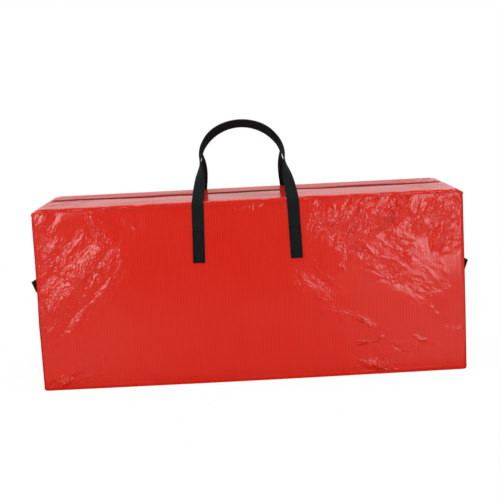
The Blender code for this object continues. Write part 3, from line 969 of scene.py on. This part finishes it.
for topName, topSide in longSides:
    makeTopHalf(topName, topSide)
print("top made")


# Zip: tapes, rows of teeth, end tabs, slider and pull
zipParts = {
    "level": 0.5151,
    "tapeInner": 0.0041,
    "tapeWidth": 0.013,
    "tapeThickness": 0.0010,
    "tapeBevel": 0.0003,
    "tapeFlatness": 0.95,
    "bead": 0.0006,
    "beadInset": 0.0012,
    "beadWidth": 0.0009,
    "rowEnd": 0.570,
    "toothPitch": 0.0030,
    "toothLength": 0.0022,
    "toothReach": 0.0032,
    "toothPlace": 0.0030,
    "toothHead": ((0.0003, 1.35, 0.8), (0.0009, 0.55, 0.55)),
    "toothShare": 0.42,
    "slot": (-0.0013, 0.0013),
    "endWidth": 0.032,
    "endThickness": 0.0011,
    "endBevel": 0.0003,
    "endGap": 0.0006,
    "endTrim": 0.0030,
    "sliderPlace": 0.589,
    "sliderLength": 0.016,
    "sliderWidth": 0.010,
    "plate": 0.0012,
    "plateGap": 0.0019,
    "plateRim": 0.0009,
    "plateBevel": 0.00025,
    "pullThickness": 0.0014,
}
zipFacing = {"inner": 0.0075, "width": 0.0125, "thickness": 0.0007, "bevel": 0.0002, "end": 0.594, "gap": 0.0001}


def makeZipTape(name, side):
    width, thick = zipParts["tapeWidth"], zipParts["tapeThickness"]
    piece = addStrip(name + "ZipTape", 2 * zipParts["rowEnd"], width, thick, zipParts["tapeBevel"], (9, 18), (3,))
    x, across, up = places(piece).T
    away = (across + width / 2 - zipParts["beadInset"]) / zipParts["beadWidth"]
    bead = zipParts["bead"] * np.exp(-away ** 2) * (up > 0)
    y = bag["zipPlace"] + side * (zipParts["tapeInner"] + width / 2 + across)
    movePlaces(piece, side * x, y, zipParts["level"] + up * zipParts["tapeFlatness"] + bead)
    finishPiece(piece, finishes["tape"], name + "_flap", [name + "_zip_tape"])


# Woven facing sewn over each flap's edge, beside the teeth
def makeZipFacing(name, side):
    width, thick = zipFacing["width"], zipFacing["thickness"]
    piece = addStrip(name + "ZipFacing", 2 * zipFacing["end"], width, thick, zipFacing["bevel"], (9, 18), (3,))
    x, across, up = places(piece).T
    x = side * x
    y = bag["zipPlace"] + side * (zipFacing["inner"] + width / 2 + across)
    movePlaces(piece, x, y + zipSway(x), lidLevel + thick / 2 + lidRise(x, y) + up + zipFacing["gap"])
    finishPiece(piece, finishes["tape"], name + "_flap")


# One coil tooth: a short bar with a swollen head that hooks past the middle
def makeTeeth(name, side):
    pitch = zipParts["toothPitch"]
    tooth = addShape(name + "ZipTeeth", bpy.ops.mesh.primitive_cube_add,
                     (pitch * zipParts["toothShare"], zipParts["toothReach"], zipParts["toothLength"]), size=1)
    selectFaces(tooth, lambda centre, normal: normal.y > 0.9)
    for out, wide, high in zipParts["toothHead"]:
        bpy.ops.mesh.extrude_region_move(TRANSFORM_OT_translate={"value": (0, out, 0)})
        bpy.ops.transform.resize(value=(wide, 1, high))
    repeat(tooth, int(2 * zipParts["rowEnd"] / pitch) - 1, pitch)
    x, y, z = places(tooth).T
    shift = -zipParts["rowEnd"] + pitch * (0.75 if side < 0 else 1.25)
    movePlaces(tooth, x + shift, bag["zipPlace"] + side * (zipParts["toothPlace"] - y), z + zipParts["level"])
    finishPiece(tooth, finishes["coil"], name + "_flap", [name + "_zip_teeth"], 25)


def makeZipEnd(name, end):
    start, stop = zipParts["rowEnd"] + zipParts["endGap"], halfLength - zipParts["endTrim"]
    slotEnd = zipParts["sliderPlace"] + zipParts["endTrim"]
    piece = addShape(name + "ZipEnd", bpy.ops.mesh.primitive_plane_add, (stop - slotEnd, zipParts["endWidth"], 1),
                     size=1, location=((slotEnd + stop) / 2, 0, zipParts["level"]))
    for cut in zipParts["slot"]:
        bisectAt(piece, (0, cut, 0), (0, 1, 0))
    selectEdges(piece, lambda a, b: max(a[0], b[0]) < slotEnd + 1e-5 and abs(a[1] + b[1]) > 0.004)
    bpy.ops.mesh.extrude_region_move(TRANSFORM_OT_translate={"value": (start - slotEnd, 0, 0)})
    editAll(piece, bpy.ops.mesh.subdivide, number_cuts=2)
    flatUv(piece)
    addModifier(piece, "SOLIDIFY", thickness=zipParts["endThickness"], offset=0)
    addModifier(piece, "BEVEL", width=zipParts["endBevel"], segments=2, limit_method="ANGLE")
    movePlaces(piece, places(piece) * (end, end, 1) + (0, bag["zipPlace"], 0))
    finishPiece(piece, finishes["tape"], "bag", [name + "_zip_end_tab"])


def makeSliderPlate(level):
    length, width = zipParts["sliderLength"], zipParts["sliderWidth"]
    plate = addShape("sliderPlate", bpy.ops.mesh.primitive_cylinder_add, (length, width, zipParts["plate"]),
                     vertices=40, radius=0.5, depth=1, location=(zipParts["sliderPlace"], 0, level))
    x, y, z = places(plate).T
    run = (x - zipParts["sliderPlace"]) / (length / 2)
    fill = np.sqrt(np.clip(1 - run ** 2, 0.02, 1))
    wide = 0.5 + 0.5 * (1 - np.clip(run, -1, 1) ** 4) * (1 - 0.18 * run)
    movePlaces(plate, x, np.clip(y / fill * wide, -width / 2, width / 2), z)
    selectFaces(plate, lambda centre, normal: abs(normal.z) > 0.9)
    bpy.ops.mesh.inset(thickness=zipParts["plateRim"])
    return addModifier(plate, "BEVEL", width=zipParts["plateBevel"], segments=2, limit_method="ANGLE")


# Two plates on a post, with a bridge over the top for the pull
sliderForm = {
    "post": (0.005, 0.002),
    "postSunk": 0.0008,
    "postRound": 0.0006,
    "bridgeReach": 0.0037,
    "bridgeRise": 0.0033,
    "bridgeSunk": 0.0003,
    "bridge": (0.0018, 0.0012, 0.0003),
}


def makeSlider():
    level, place = zipParts["level"], zipParts["sliderPlace"]
    middle = zipParts["plateGap"] + zipParts["plate"] / 2
    upper, lower = makeSliderPlate(level + middle), makeSliderPlate(level - middle)
    tall = 2 * zipParts["plateGap"] + sliderForm["postSunk"]
    post = addShape("sliderPost", bpy.ops.mesh.primitive_cube_add, (*sliderForm["post"], tall),
                    size=1, location=(place, 0, level))
    selectEdges(post, lambda a, b: abs(a[2] - b[2]) > tall / 2)
    bpy.ops.mesh.bevel(offset=sliderForm["postRound"], segments=3, affect="EDGES")
    outside = level + zipParts["plateGap"] + zipParts["plate"]
    steps = np.linspace(0, math.pi, 15)
    x = place - sliderForm["bridgeReach"] * np.sign(np.cos(steps)) * np.abs(np.cos(steps)) ** 0.55
    z = outside - sliderForm["bridgeSunk"] + sliderForm["bridgeRise"] * np.sin(steps) ** 0.5
    centre = np.stack([x, steps * 0, z], 1)
    across = np.tile((0.0, 1.0, 0.0), (len(steps), 1))
    bridge = addStrip("sliderBridge", runOf(centre)[-1], *sliderForm["bridge"], (24,))
    bendStrip(bridge, centre, across, np.cross(unitRows(np.gradient(centre, axis=0)), across))
    slider = joinPieces("zipSlider", [upper, lower, post, bridge])
    movePlaces(slider, places(slider) + (0, bag["zipPlace"], 0))
    finishPiece(slider, finishes["enamel"], "slider", ["zip_slider"], 35)


# A flat pull: a waist behind the eye, and a panel pressed into each face
pullForm = {
    "eye": (-0.0069, -0.0014),
    "neck": -0.0100,
    "rim": 0.0011,
    "waist": 0.22,
    "waistRun": 0.0025,
    "press": 0.0003,
    "bevel": 0.0004,
}


def makePull():
    low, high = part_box("zip_pull")
    middle = (Vector(low) + Vector(high)) / 2
    pull = addShape("zipPull", bpy.ops.mesh.primitive_plane_add, (high.x - low.x, high.y - low.y, 1), size=1,
                    location=(middle.x, 0, middle.z))
    eyeStart, eyeEnd = (high.x + place for place in pullForm["eye"])
    neck = high.x + pullForm["neck"]
    for cut in (eyeEnd, eyeStart, neck):
        bisectAt(pull, (cut, 0, 0), (1, 0, 0))
    for cut in zipParts["slot"]:
        bisectAt(pull, (0, cut, 0), (0, 1, 0))
    selectFaces(pull, lambda centre, normal: abs(centre.y) < 0.001 and eyeStart < centre.x < eyeEnd)
    bpy.ops.mesh.delete(type="FACE")
    selectFaces(pull, lambda centre, normal: centre.x < neck)
    bpy.ops.mesh.inset(thickness=pullForm["rim"])
    setMode("OBJECT")
    x, y, z = places(pull).T
    waist = 1 - pullForm["waist"] * np.exp(-((x - neck) / pullForm["waistRun"]) ** 2)
    movePlaces(pull, x, y * waist, z)
    addModifier(pull, "SOLIDIFY", thickness=zipParts["pullThickness"], offset=0)
    selectFaces(pull, lambda centre, normal: abs(normal.z) > 0.9 and centre.x < neck - pullForm["rim"]
                and abs(centre.y) < 0.0015)
    bpy.ops.mesh.extrude_region_shrink_fatten(TRANSFORM_OT_shrink_fatten={"value": -pullForm["press"]})
    addModifier(pull, "BEVEL", width=pullForm["bevel"], segments=3, limit_method="ANGLE",
                angle_limit=math.radians(50))
    movePlaces(pull, places(pull) + (0, bag["zipPlace"], 0))
    finishPiece(pull, finishes["enamel"], "pull", ["zip_pull"], 35)


for zipName, zipSide in longSides:
    makeZipTape(zipName, zipSide)
    makeZipFacing(zipName, zipSide)
    makeTeeth(zipName, zipSide)
for zipName, zipEnd in shortSides:
    makeZipEnd(zipName, zipEnd)
makeSlider()
makePull()
print("zip made")


# Carrying handles: one length of webbing from tail to tail
def handleLean():
    bend = handle["edgeRound"] + handle["gap"] + handle["solidThickness"] / 2
    halfWidth, halfThick = handle["width"] / 2, handle["solidThickness"] / 2
    lean = math.pi / 4
    for _ in range(12):
        reach = halfDepth - handle["edgeRound"] + bend * math.cos(lean)
        reach -= handle["gap"] / 2 + halfWidth * math.cos(lean) + halfThick * math.sin(lean)
        rise = handle["rise"] - handle["hemLift"] + handle["edgeRound"] - bend * math.sin(lean)
        rise -= halfWidth * math.sin(lean) + halfThick * math.cos(lean)
        lean = math.atan2(reach, rise)
    return lean, math.hypot(reach, rise), bend


def handleStations():
    lean, length, bend = handleLean()
    plane = halfDepth + handle["gap"] + handle["solidThickness"] / 2
    foot = lidLevel + handle["hemLift"] - handle["edgeRound"]
    stations = [(legOffset(level), plane, level, 0, 0) for level in np.linspace(handle["tailEnd"], foot, 24)[:-1]]

    def overEdge(angle):
        level = foot + bend * math.sin(angle)
        return legOffset(level), halfDepth - handle["edgeRound"] + bend * math.cos(angle), level

    for angle in np.linspace(0, lean, 9)[:-1]:
        stations.append((*overEdge(angle), angle, 0))
    footOffset, footDepth, footHeight = overEdge(lean)
    archFoot = length - handle["archRise"]

    def leaning(offset, along, twist):
        return offset, footDepth - along * math.sin(lean), footHeight + along * math.cos(lean), lean, twist

    for share in np.linspace(0, 1, 25)[:-1]:
        offset = handle["archHalfWidth"] + (footOffset - handle["archHalfWidth"]) * (1 - share) ** 1.5
        stations.append(leaning(offset, archFoot * share, math.pi / 2 * share ** handle["twistEase"]))
    power = 1 / handle["archRoundness"]
    for share in np.linspace(0, 1, 33):
        angle = math.pi / 2 * share
        offset = handle["archHalfWidth"] * max(math.cos(angle), 0) ** power
        along = archFoot + handle["archRise"] * math.sin(angle) ** power
        twist = math.pi / 2 + handle["twistExtra"] * math.sin(math.pi * share) * (1 - share)
        stations.append(leaning(offset, along, twist))
    return stations


def handleRoute(face, side):
    half = handleStations()
    both = [(-1, one) for one in half] + [(1, one) for one in reversed(half[:-1])]
    centre = np.array([(handle["middle"] + way * one[0], side * one[1], one[2]) for way, one in both])
    across = np.empty_like(centre)
    tangent = np.empty_like(centre)
    last = len(both) - 1
    for index, (way, (_, _, _, lean, twist)) in enumerate(both):
        step = centre[min(index + 1, last)] - centre[max(index - 1, 0)]
        tangent[index] = step / np.linalg.norm(step)
        plane = np.array((0, -side * math.cos(lean), -math.sin(lean)))
        outward = np.cross(tangent[index], plane)
        if outward[0] * way < 0 or (way < 0 and index == last // 2 and outward[2] < 0):
            outward = -outward
        outward /= np.linalg.norm(outward)
        wide = outward * math.cos(twist) + plane * math.sin(twist)
        wide -= tangent[index] * (wide @ tangent[index])
        across[index] = wide / np.linalg.norm(wide)
    through = np.cross(tangent, across)
    sewn = ease((bag["wallTop"] - 0.006 - centre[:, 2]) / 0.02) * (centre[:, 2] < lidLevel)
    rise, _ = wallRelief(face, centre[:, 0], centre[:, 2])
    centre[:, 1] += side * sewn * (rise - bag["wallInset"])
    centre[:, 0] += handle["archShift"] * ease((centre[:, 2] - 0.56) / 0.14)
    return centre, across, through


def makeWebbing(name, route, cuts, stands):
    length = runOf(route[0])[-1]
    piece = addStrip(name, length, handle["width"], handle["thickness"], handle["bevel"], cuts, (7,))
    bendStrip(piece, *route)
    finishPiece(piece, finishes["webbing"], None, stands, 60)
    return piece


def makeHandle(face, side):
    route = handleRoute(face, side)
    cells = round(runOf(route[0])[-1] / handle["step"] / 16)
    stands = [f"{face}_handle_strap", f"{face}_handle_left_tail", f"{face}_handle_right_tail"]
    piece = makeWebbing(face + "Handle", route, (15, cells), stands)
    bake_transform(piece)


# Grab handles: two halves that meet in the middle, each bending where it leaves its tail
gripSewn = {"calmFrom": 0.18, "calmOver": 0.03, "sink": 0.0014}


def gripFrame(end, y, cutY, cutOut):
    base = handle["gap"] + handle["solidThickness"] / 2
    share = min(abs(y) / grip["halfSpan"], 1)
    out = base + grip["rise"] * (1 + math.cos(math.pi * share)) / 2
    droop = grip["droop"] * float(ease((grip["halfSpan"] - abs(y)) / (grip["halfSpan"] - cutY)))
    level = grip["height"]
    if abs(y) < cutY:
        lever = out - cutOut
        out = cutOut + lever * math.cos(droop)
        level -= lever * math.sin(droop)
    return (end * (halfLength + out), y, level), (end * math.sin(droop), 0, math.cos(droop))


def gripCut():
    base = handle["gap"] + handle["solidThickness"] / 2
    out = handle["width"] / 2 * math.sin(grip["limit"]) + handle["solidThickness"] + grip["clearance"]
    return grip["halfSpan"] * math.acos(2 * (out - base) / grip["rise"] - 1) / math.pi, out


def makeGripHalf(endName, end, tailName, way):
    cutY, cutOut = gripCut()
    outer = grip["halfSpan"] + grip["tail"]
    spots = np.concatenate([np.linspace(outer, grip["halfSpan"], 12)[:-1], np.linspace(grip["halfSpan"], 0, 36)])
    centre, across = (np.array(rows) for rows in zip(*(gripFrame(end, way * y, cutY, cutOut) for y in spots)))
    sewn = ease((spots - grip["halfSpan"] + 0.012) / 0.02)
    rise, _ = wallRelief(endName, centre[:, 1], centre[:, 2])
    rise = rise * ease((gripSewn["calmFrom"] - np.abs(spots)) / gripSewn["calmOver"])
    centre[:, 0] += end * (sewn * (rise - gripSewn["sink"]) + flareAt(grip["height"]))
    tangent = np.gradient(centre, axis=0)
    tangent[-1] = (0, tangent[-1][1], 0)
    route = centre, across, np.cross(unitRows(tangent), across)
    stands = [f"{endName}_end_handle_strap", f"{endName}_end_handle_{tailName}_tail"]
    piece = makeWebbing(f"{endName}Grip{tailName.capitalize()}", route, (5, 6), stands)
    start, stop = ((end * halfLength, way * (cutY + past), grip["height"]) for past in grip["hinge"])
    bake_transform(piece)


for handleName, handleSide in longSides:
    makeHandle(handleName, handleSide)
for gripName, gripEnd in shortSides:
    for gripTail, gripWay in longSides:
        makeGripHalf(gripName, gripEnd, gripTail, gripWay)
print("handles made")


# Stitches: one thread bead, repeated along each run and laid on the cloth
stitch = {
    "length": 0.0034,
    "pitch": 0.0038,
    "seamPitch": 0.0046,
    "thread": 0.0007,
    "bold": 0.0017,
    "flatness": 0.7,
    "inset": 0.0034,
    "fromEnd": 0.004,
    "fromLine": 0.002,
}


def stitchRun(start, end, normal, lift, pitch=stitch["seamPitch"], thread=stitch["thread"]):
    start, end, normal = (np.array(v, float) for v in (start, end, normal))
    length = np.linalg.norm(end - start)
    way = (end - start) / length
    count = max(round(length / pitch), 1)
    size = (thread * stitch["flatness"], thread, pitch * stitch["length"] / stitch["pitch"])
    bead = addShape("bead", bpy.ops.mesh.primitive_uv_sphere_add, size, segments=6, ring_count=4, radius=0.5,
                    rotation=(0, math.pi / 2, 0))
    repeat(bead, count, length / count)
    x, y, z = places(bead).T
    spots = start + np.outer(x + length / count / 2, way)
    spots = spots + np.stack(np.broadcast_arrays(*lift(*spots.T)), 1)
    movePlaces(bead, spots + np.outer(y, np.cross(normal, way)) + np.outer(z, normal))
    return bead


def boxAndCross(name, corners, normal, lift, stands):
    runs = [stitchRun(corners[first], corners[second], normal, lift, stitch["pitch"], stitch["bold"])
            for first, second in ((0, 1), (1, 2), (2, 3), (3, 0), (0, 2), (1, 3))]
    finishPiece(joinPieces(name, runs), finishes["blackThread"], "bag", [stands])


def makeHandleStitching(face, side):
    surface = halfDepth + handle["gap"] + handle["solidThickness"] / 2 + handle["thickness"] / 2
    reach = handle["width"] / 2 - stitch["inset"]
    low, high = handle["tailEnd"] + stitch["fromEnd"], handle["stitchLine"] - stitch["fromLine"]

    def lift(x, y, z):
        rise, _ = wallRelief(face, x * 0 + np.mean(x), z)
        return 0, side * (rise - bag["wallInset"]), 0

    for name, way in shortSides:
        corners = [(handle["middle"] + way * legOffset(level) + turn * reach, side * surface, level)
                   for level, turn in ((low, -1), (low, 1), (high, 1), (high, -1))]
        boxAndCross(f"{face}{name.capitalize()}Stitching", corners, (0, side, 0), lift,
                    f"{face}_handle_{name}_tail_stitching")


def makeGripStitching(endName, end):
    surface = halfLength + handle["gap"] + handle["solidThickness"] / 2 + handle["thickness"] / 2
    inner, outer = grip["halfSpan"] + stitch["inset"], grip["halfSpan"] + grip["tail"] - stitch["inset"]
    reach = handle["width"] / 2 - stitch["inset"]

    def lift(x, y, z):
        rise, _ = wallRelief(endName, y, z * 0 + grip["height"])
        rise = rise * ease((gripSewn["calmFrom"] - np.abs(y)) / gripSewn["calmOver"])
        return end * (rise - gripSewn["sink"] + flareAt(grip["height"])), 0, 0

    for name, way in longSides:
        corners = [(end * surface, way * y, grip["height"] + z)
                   for y, z in ((inner, -reach), (outer, -reach), (outer, reach), (inner, reach))]
        boxAndCross(f"{endName}{name.capitalize()}GripStitching", corners, (end, 0, 0), lift,
                    f"{endName}_end_handle_{name}_tail_stitching")


# Rows of stitches: under the hems, along the zip's facings and up the corners
seams = {"hemUp": 0.0035, "facingRows": (0.0025, 0.0110), "facingEnd": 0.003, "cornerIn": 0.0030, "low": 0.012,
         "high": 0.004}


def finishSeam(name, runs, body):
    seam = joinPieces(name, runs) if len(runs) > 1 else nameIt(name)
    finishPiece(seam, finishes["redThread"], body)


def makeSeams(name, side):
    reach, level = halfLength - bag["uprightRound"], lidLevel - bag["skirtDrop"] + seams["hemUp"]
    ends = ((way * reach, side * halfDepth, level) for way in (-1, 1))
    run = stitchRun(*ends, (0, side, 0), lambda x, y, z: (0, 0, hemRise(x, side)))
    finishSeam(name + "HemSeam", [run], "bag")

    level, last = lidLevel + zipFacing["thickness"], zipFacing["end"] - seams["facingEnd"]
    depths = [bag["zipPlace"] + side * (zipFacing["inner"] + away) for away in seams["facingRows"]]
    rows = [stitchRun((-last, depth, level), (last, depth, level), (0, 0, 1),
                      lambda x, y, z: (0, zipSway(x), lidRise(x, y))) for depth in depths]
    finishSeam(name + "ZipSeam", rows, name + "_flap")

    for endName, end in shortSides:
        x = end * (halfLength - bag["wallInset"])
        y = side * (halfDepth - bag["uprightRound"] - bag["wrap"] + seams["cornerIn"])
        run = stitchRun((x, y, seams["low"]), (x, y, bag["wallTop"] - seams["high"]), (end, 0, 0),
                        lambda x, y, z: (end * flareAt(z), side * bellyAt(halfLength, z), 0))
        finishSeam(f"{name}{endName.capitalize()}CornerSeam", [run], "bag")


for sewnName, sewnSide in longSides:
    makeHandleStitching(sewnName, sewnSide)
for sewnName, sewnEnd in shortSides:
    makeGripStitching(sewnName, sewnEnd)
for sewnName, sewnSide in longSides:
    makeSeams(sewnName, sewnSide)
print("stitches made")


# Bound seams inside: a folded tape that stands off each corner
binding = {
    "width": 0.012,
    "thickness": 0.0015,
    "bevel": 0.0004,
    "cell": 0.05,
    "standOff": 0.0016,
    "wave": 0.0009,
    "inset": 0.0032,
    "level": 0.0035,
    "corner": 0.003,
    "low": 0.015,
    "fromTop": 0.027,
}


def makeBinding(name, start, end, inward):
    start, end = np.array(start, float), np.array(end, float)
    inward = np.array(inward, float) / np.linalg.norm(inward)
    length = np.linalg.norm(end - start)
    way = (end - start) / length
    words = name.split("_")
    piece = addStrip(words[0] + "".join(word.capitalize() for word in words[1:]), length, binding["width"],
                     binding["thickness"], binding["bevel"], (5, round(length / binding["cell"])), (2,))
    x, y, z = places(piece).T
    ripple = softNoise(x, x * 0, 0.06, 120 + len(name), 5)
    lean = ripple * binding["wave"] * (y / binding["width"] + 0.5)
    centre = start + inward * (binding["standOff"] + binding["width"] / 2)
    spots = centre + np.outer(x + length / 2, way) + np.outer(y, inward)
    movePlaces(piece, spots + np.outer(z + lean, np.cross(way, inward)))
    finishPiece(piece, finishes["tape"], "bag", [name])


def makeBindings():
    innerX, innerY = halfLength - binding["inset"], halfDepth - binding["inset"]
    low, high, level, trim = binding["low"], lidLevel - binding["fromTop"], binding["level"], binding["width"]
    for endName, end in shortSides:
        x = end * innerX
        start, stop = (x, -innerY + trim, level), (x, innerY - trim, level)
        makeBinding(f"{endName}_bottom_binding", start, stop, (-end, 0, 1))
        for name, side in longSides:
            corner = x - end * binding["corner"], side * innerY - side * binding["corner"]
            makeBinding(f"{name}_{endName}_corner_binding", (*corner, low), (*corner, high), (-end, -side, 0))
    for name, side in longSides:
        y = side * innerY
        start, stop = (-innerX + trim, y, level), (innerX - trim, y, level)
        makeBinding(f"{name}_bottom_binding", start, stop, (0, -side, 1))


# Gathered ends under the flaps, folded away as when the zip is shut
gusset = {
    "wallX": 0.6062,
    "flapX": 0.5985,
    "wallUp": 0.5040,
    "flapUp": 0.5180,
    "blendUp": 0.51,
    "fromZip": 0.019,
    "far": 0.172,
    "width": 0.014,
    "cell": 0.0014,
    "bulge": 0.0016,
    "pleat": 0.0006,
    "thickness": 0.0006,
}


def makeGusset(name, side, endName, end):
    near = gusset["fromZip"] + side * bag["zipPlace"]
    length = gusset["far"] - near
    piece = addSheet(f"{name}{endName.capitalize()}Gusset", length, gusset["width"], gusset["cell"])
    run, up, _ = places(piece).T
    share = np.clip(up / gusset["width"] + 0.5, 0, 1)
    run = run + length / 2
    bulge = np.sin(np.pi * share) * gusset["bulge"]
    x = gusset["wallX"] + (gusset["flapX"] - gusset["wallX"]) * share - bulge
    z = gusset["wallUp"] + (gusset["flapUp"] - gusset["wallUp"]) * share ** 0.7
    pleats = softNoise(run, share * 0.02, 0.02, 140 + side + end, 5) * gusset["pleat"] * np.sin(np.pi * share)
    movePlaces(piece, end * (x + pleats), side * (near + run), z)
    keepCrinkle(piece, 0.4 + 0.3 * np.sin(share * 9))
    addModifier(piece, "SOLIDIFY", thickness=gusset["thickness"], offset=0)
    finishPiece(piece, finishes["lining"])
    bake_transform(piece)


makeBindings()
for gussetName, gussetSide in longSides:
    for gussetEndName, gussetEnd in shortSides:
        makeGusset(gussetName, gussetSide, gussetEndName, gussetEnd)
print("inside made")


# Floor, light and camera
studio = {
    "floorSize": 14.0,
    "floorTones": ((0.84, 0.84, 0.84, 1), (0.88, 0.88, 0.88, 1)),
    "floorShow": 0.97,
    "floorShine": 0.30,
    "sideShine": 0.50,
    "ambient": 0.30,
    "cardLow": 0.70,
    "cardHigh": 0.46,
    "cardFront": 0.15,
    "cardLeft": 0.85,
    "cardRight": 0.04,
}


# The floor is white to the camera. For reflections it glows as a painted reflection light, stronger out to the
# sides. It gives none under and behind the bag and only a little just in front of it, a painted shade at the
# foot.
def makeFloor():
    clearSelection()
    bpy.ops.mesh.primitive_plane_add(size=studio["floorSize"], location=(0, 0, -0.0005))
    floor = nameIt("studioFloor")
    sheet = newFinish("studioFloor", Roughness=0.9, Specular_IOR_Level=0.1)
    place, along, y, _ = sheet.objectPlace()
    floor.data.materials.append(sheet.plug(Base_Color=sheet.tint(sheet.noise(place, 3.0), *studio["floorTones"])))
    seen, glossy = sheet.rays()
    show = sheet.vectors("LENGTH", place, output="Value").clear(0.7, 2.2) * (1 - studio["floorShow"])
    show = show + studio["floorShow"]
    forward = y * -1
    sides = along.clear(0.15, 0.6) + (along * -1).clear(0.15, 0.6) * 0.55
    sides = sides * (1 - forward.clear(0.9, 1.7)) * studio["sideShine"]
    strength = seen + glossy * forward.clear(0.20, 0.34) * (sides + studio["floorShine"])
    glow = sheet.add("ShaderNodeEmission", None, {"Color": (1, 1, 1, 1), "Strength": strength})
    lit = Signal(sheet, sheet.shader.outputs[0])
    mixed = sheet.add("ShaderNodeMixShader", None, {0: seen * show + glossy, 1: lit, 2: glow})
    sheet.tree.links.new(mixed.socket, sheet.tree.nodes["Material Output"].inputs["Surface"])


# White for the camera and for glass; for reflections a pale card behind the bag and a grey room in front
def makeWorld():
    world = bpy.data.worlds.new("studio")
    world.use_nodes = True
    bpy.context.scene.world = world
    sheet = NodeSheet(world)
    backdrop = sheet.tree.nodes["Background"]
    backdrop.inputs["Color"].default_value = (1, 1, 1, 1)
    _, x, y, z = sheet.split(sheet.add("ShaderNodeTexCoord", None, None, "Generated"))
    card = z.clear(0.06, 0.22) * (studio["cardHigh"] - studio["cardLow"]) + studio["cardLow"]
    card = y.clear(-0.2, 0.3) * (card - studio["cardFront"]) + studio["cardFront"]
    card = (x * -1).clear(0.45, 0.8) * (studio["cardLeft"] - card) + card
    card = x.clear(0.5, 0.85) * (studio["cardRight"] - card) + card
    seen, glossy = sheet.rays()
    level = seen + (1 - seen) * (glossy * card + (1 - glossy) * studio["ambient"])
    sheet.tree.links.new(level.socket, backdrop.inputs["Strength"])


def addSoftbox(name, place, target, size, power):
    clearSelection()
    bpy.ops.object.light_add(type="AREA", location=place)
    lamp = bpy.context.object
    lamp.name = name
    lamp.data.shape = "RECTANGLE"
    lamp.data.size, lamp.data.size_y = size
    lamp.data.energy = power
    aim = Vector(target) - Vector(place)
    lamp.rotation_euler = aim.to_track_quat("-Z", "Y").to_euler()
    lamp.visible_camera = False


lamps = (
    ("leftSoftbox", (-1.71, -2.76, 1.10), (-0.2, -0.1, 0.3), (1.15, 1.35), 33),
    ("rightSoftbox", (1.42, -2.83, 0.79), (0.2, -0.1, 0.3), (1.15, 1.5), 28.5),
    ("rearLeftSoftbox", (-2.2, 2.2, 1.7), (-0.2, 0.1, 0.3), (2.4, 2.6), 36),
    ("rearRightSoftbox", (2.2, 2.2, 1.7), (0.2, 0.1, 0.3), (2.4, 2.6), 36),
    ("overhead", (0, -0.2, 3.0), (0, 0, 0.4), (2.4, 1.4), 54),
)

camera = {
    "place": (-0.0253, -2.8497, 0.8422),
    "lens": 68.45,
    "yaw": -0.0098,
    "pitch": 0.1712,
    "roll": -0.0499,
}


def makeCamera():
    clearSelection()
    bpy.ops.object.camera_add(location=camera["place"])
    view = bpy.context.object
    turn = Matrix.Rotation(camera["yaw"], 4, "Z") @ Matrix.Rotation(math.pi / 2 - camera["pitch"], 4, "X")
    view.rotation_euler = (turn @ Matrix.Rotation(camera["roll"], 4, "Z")).to_euler()
    view.data.sensor_width = 36
    view.data.lens = camera["lens"]
    bpy.context.scene.camera = view


makeFloor()
makeWorld()
for lampSettings in lamps:
    addSoftbox(*lampSettings)
makeCamera()
bpy.context.scene.view_settings.view_transform = "Standard"
print("studio made")
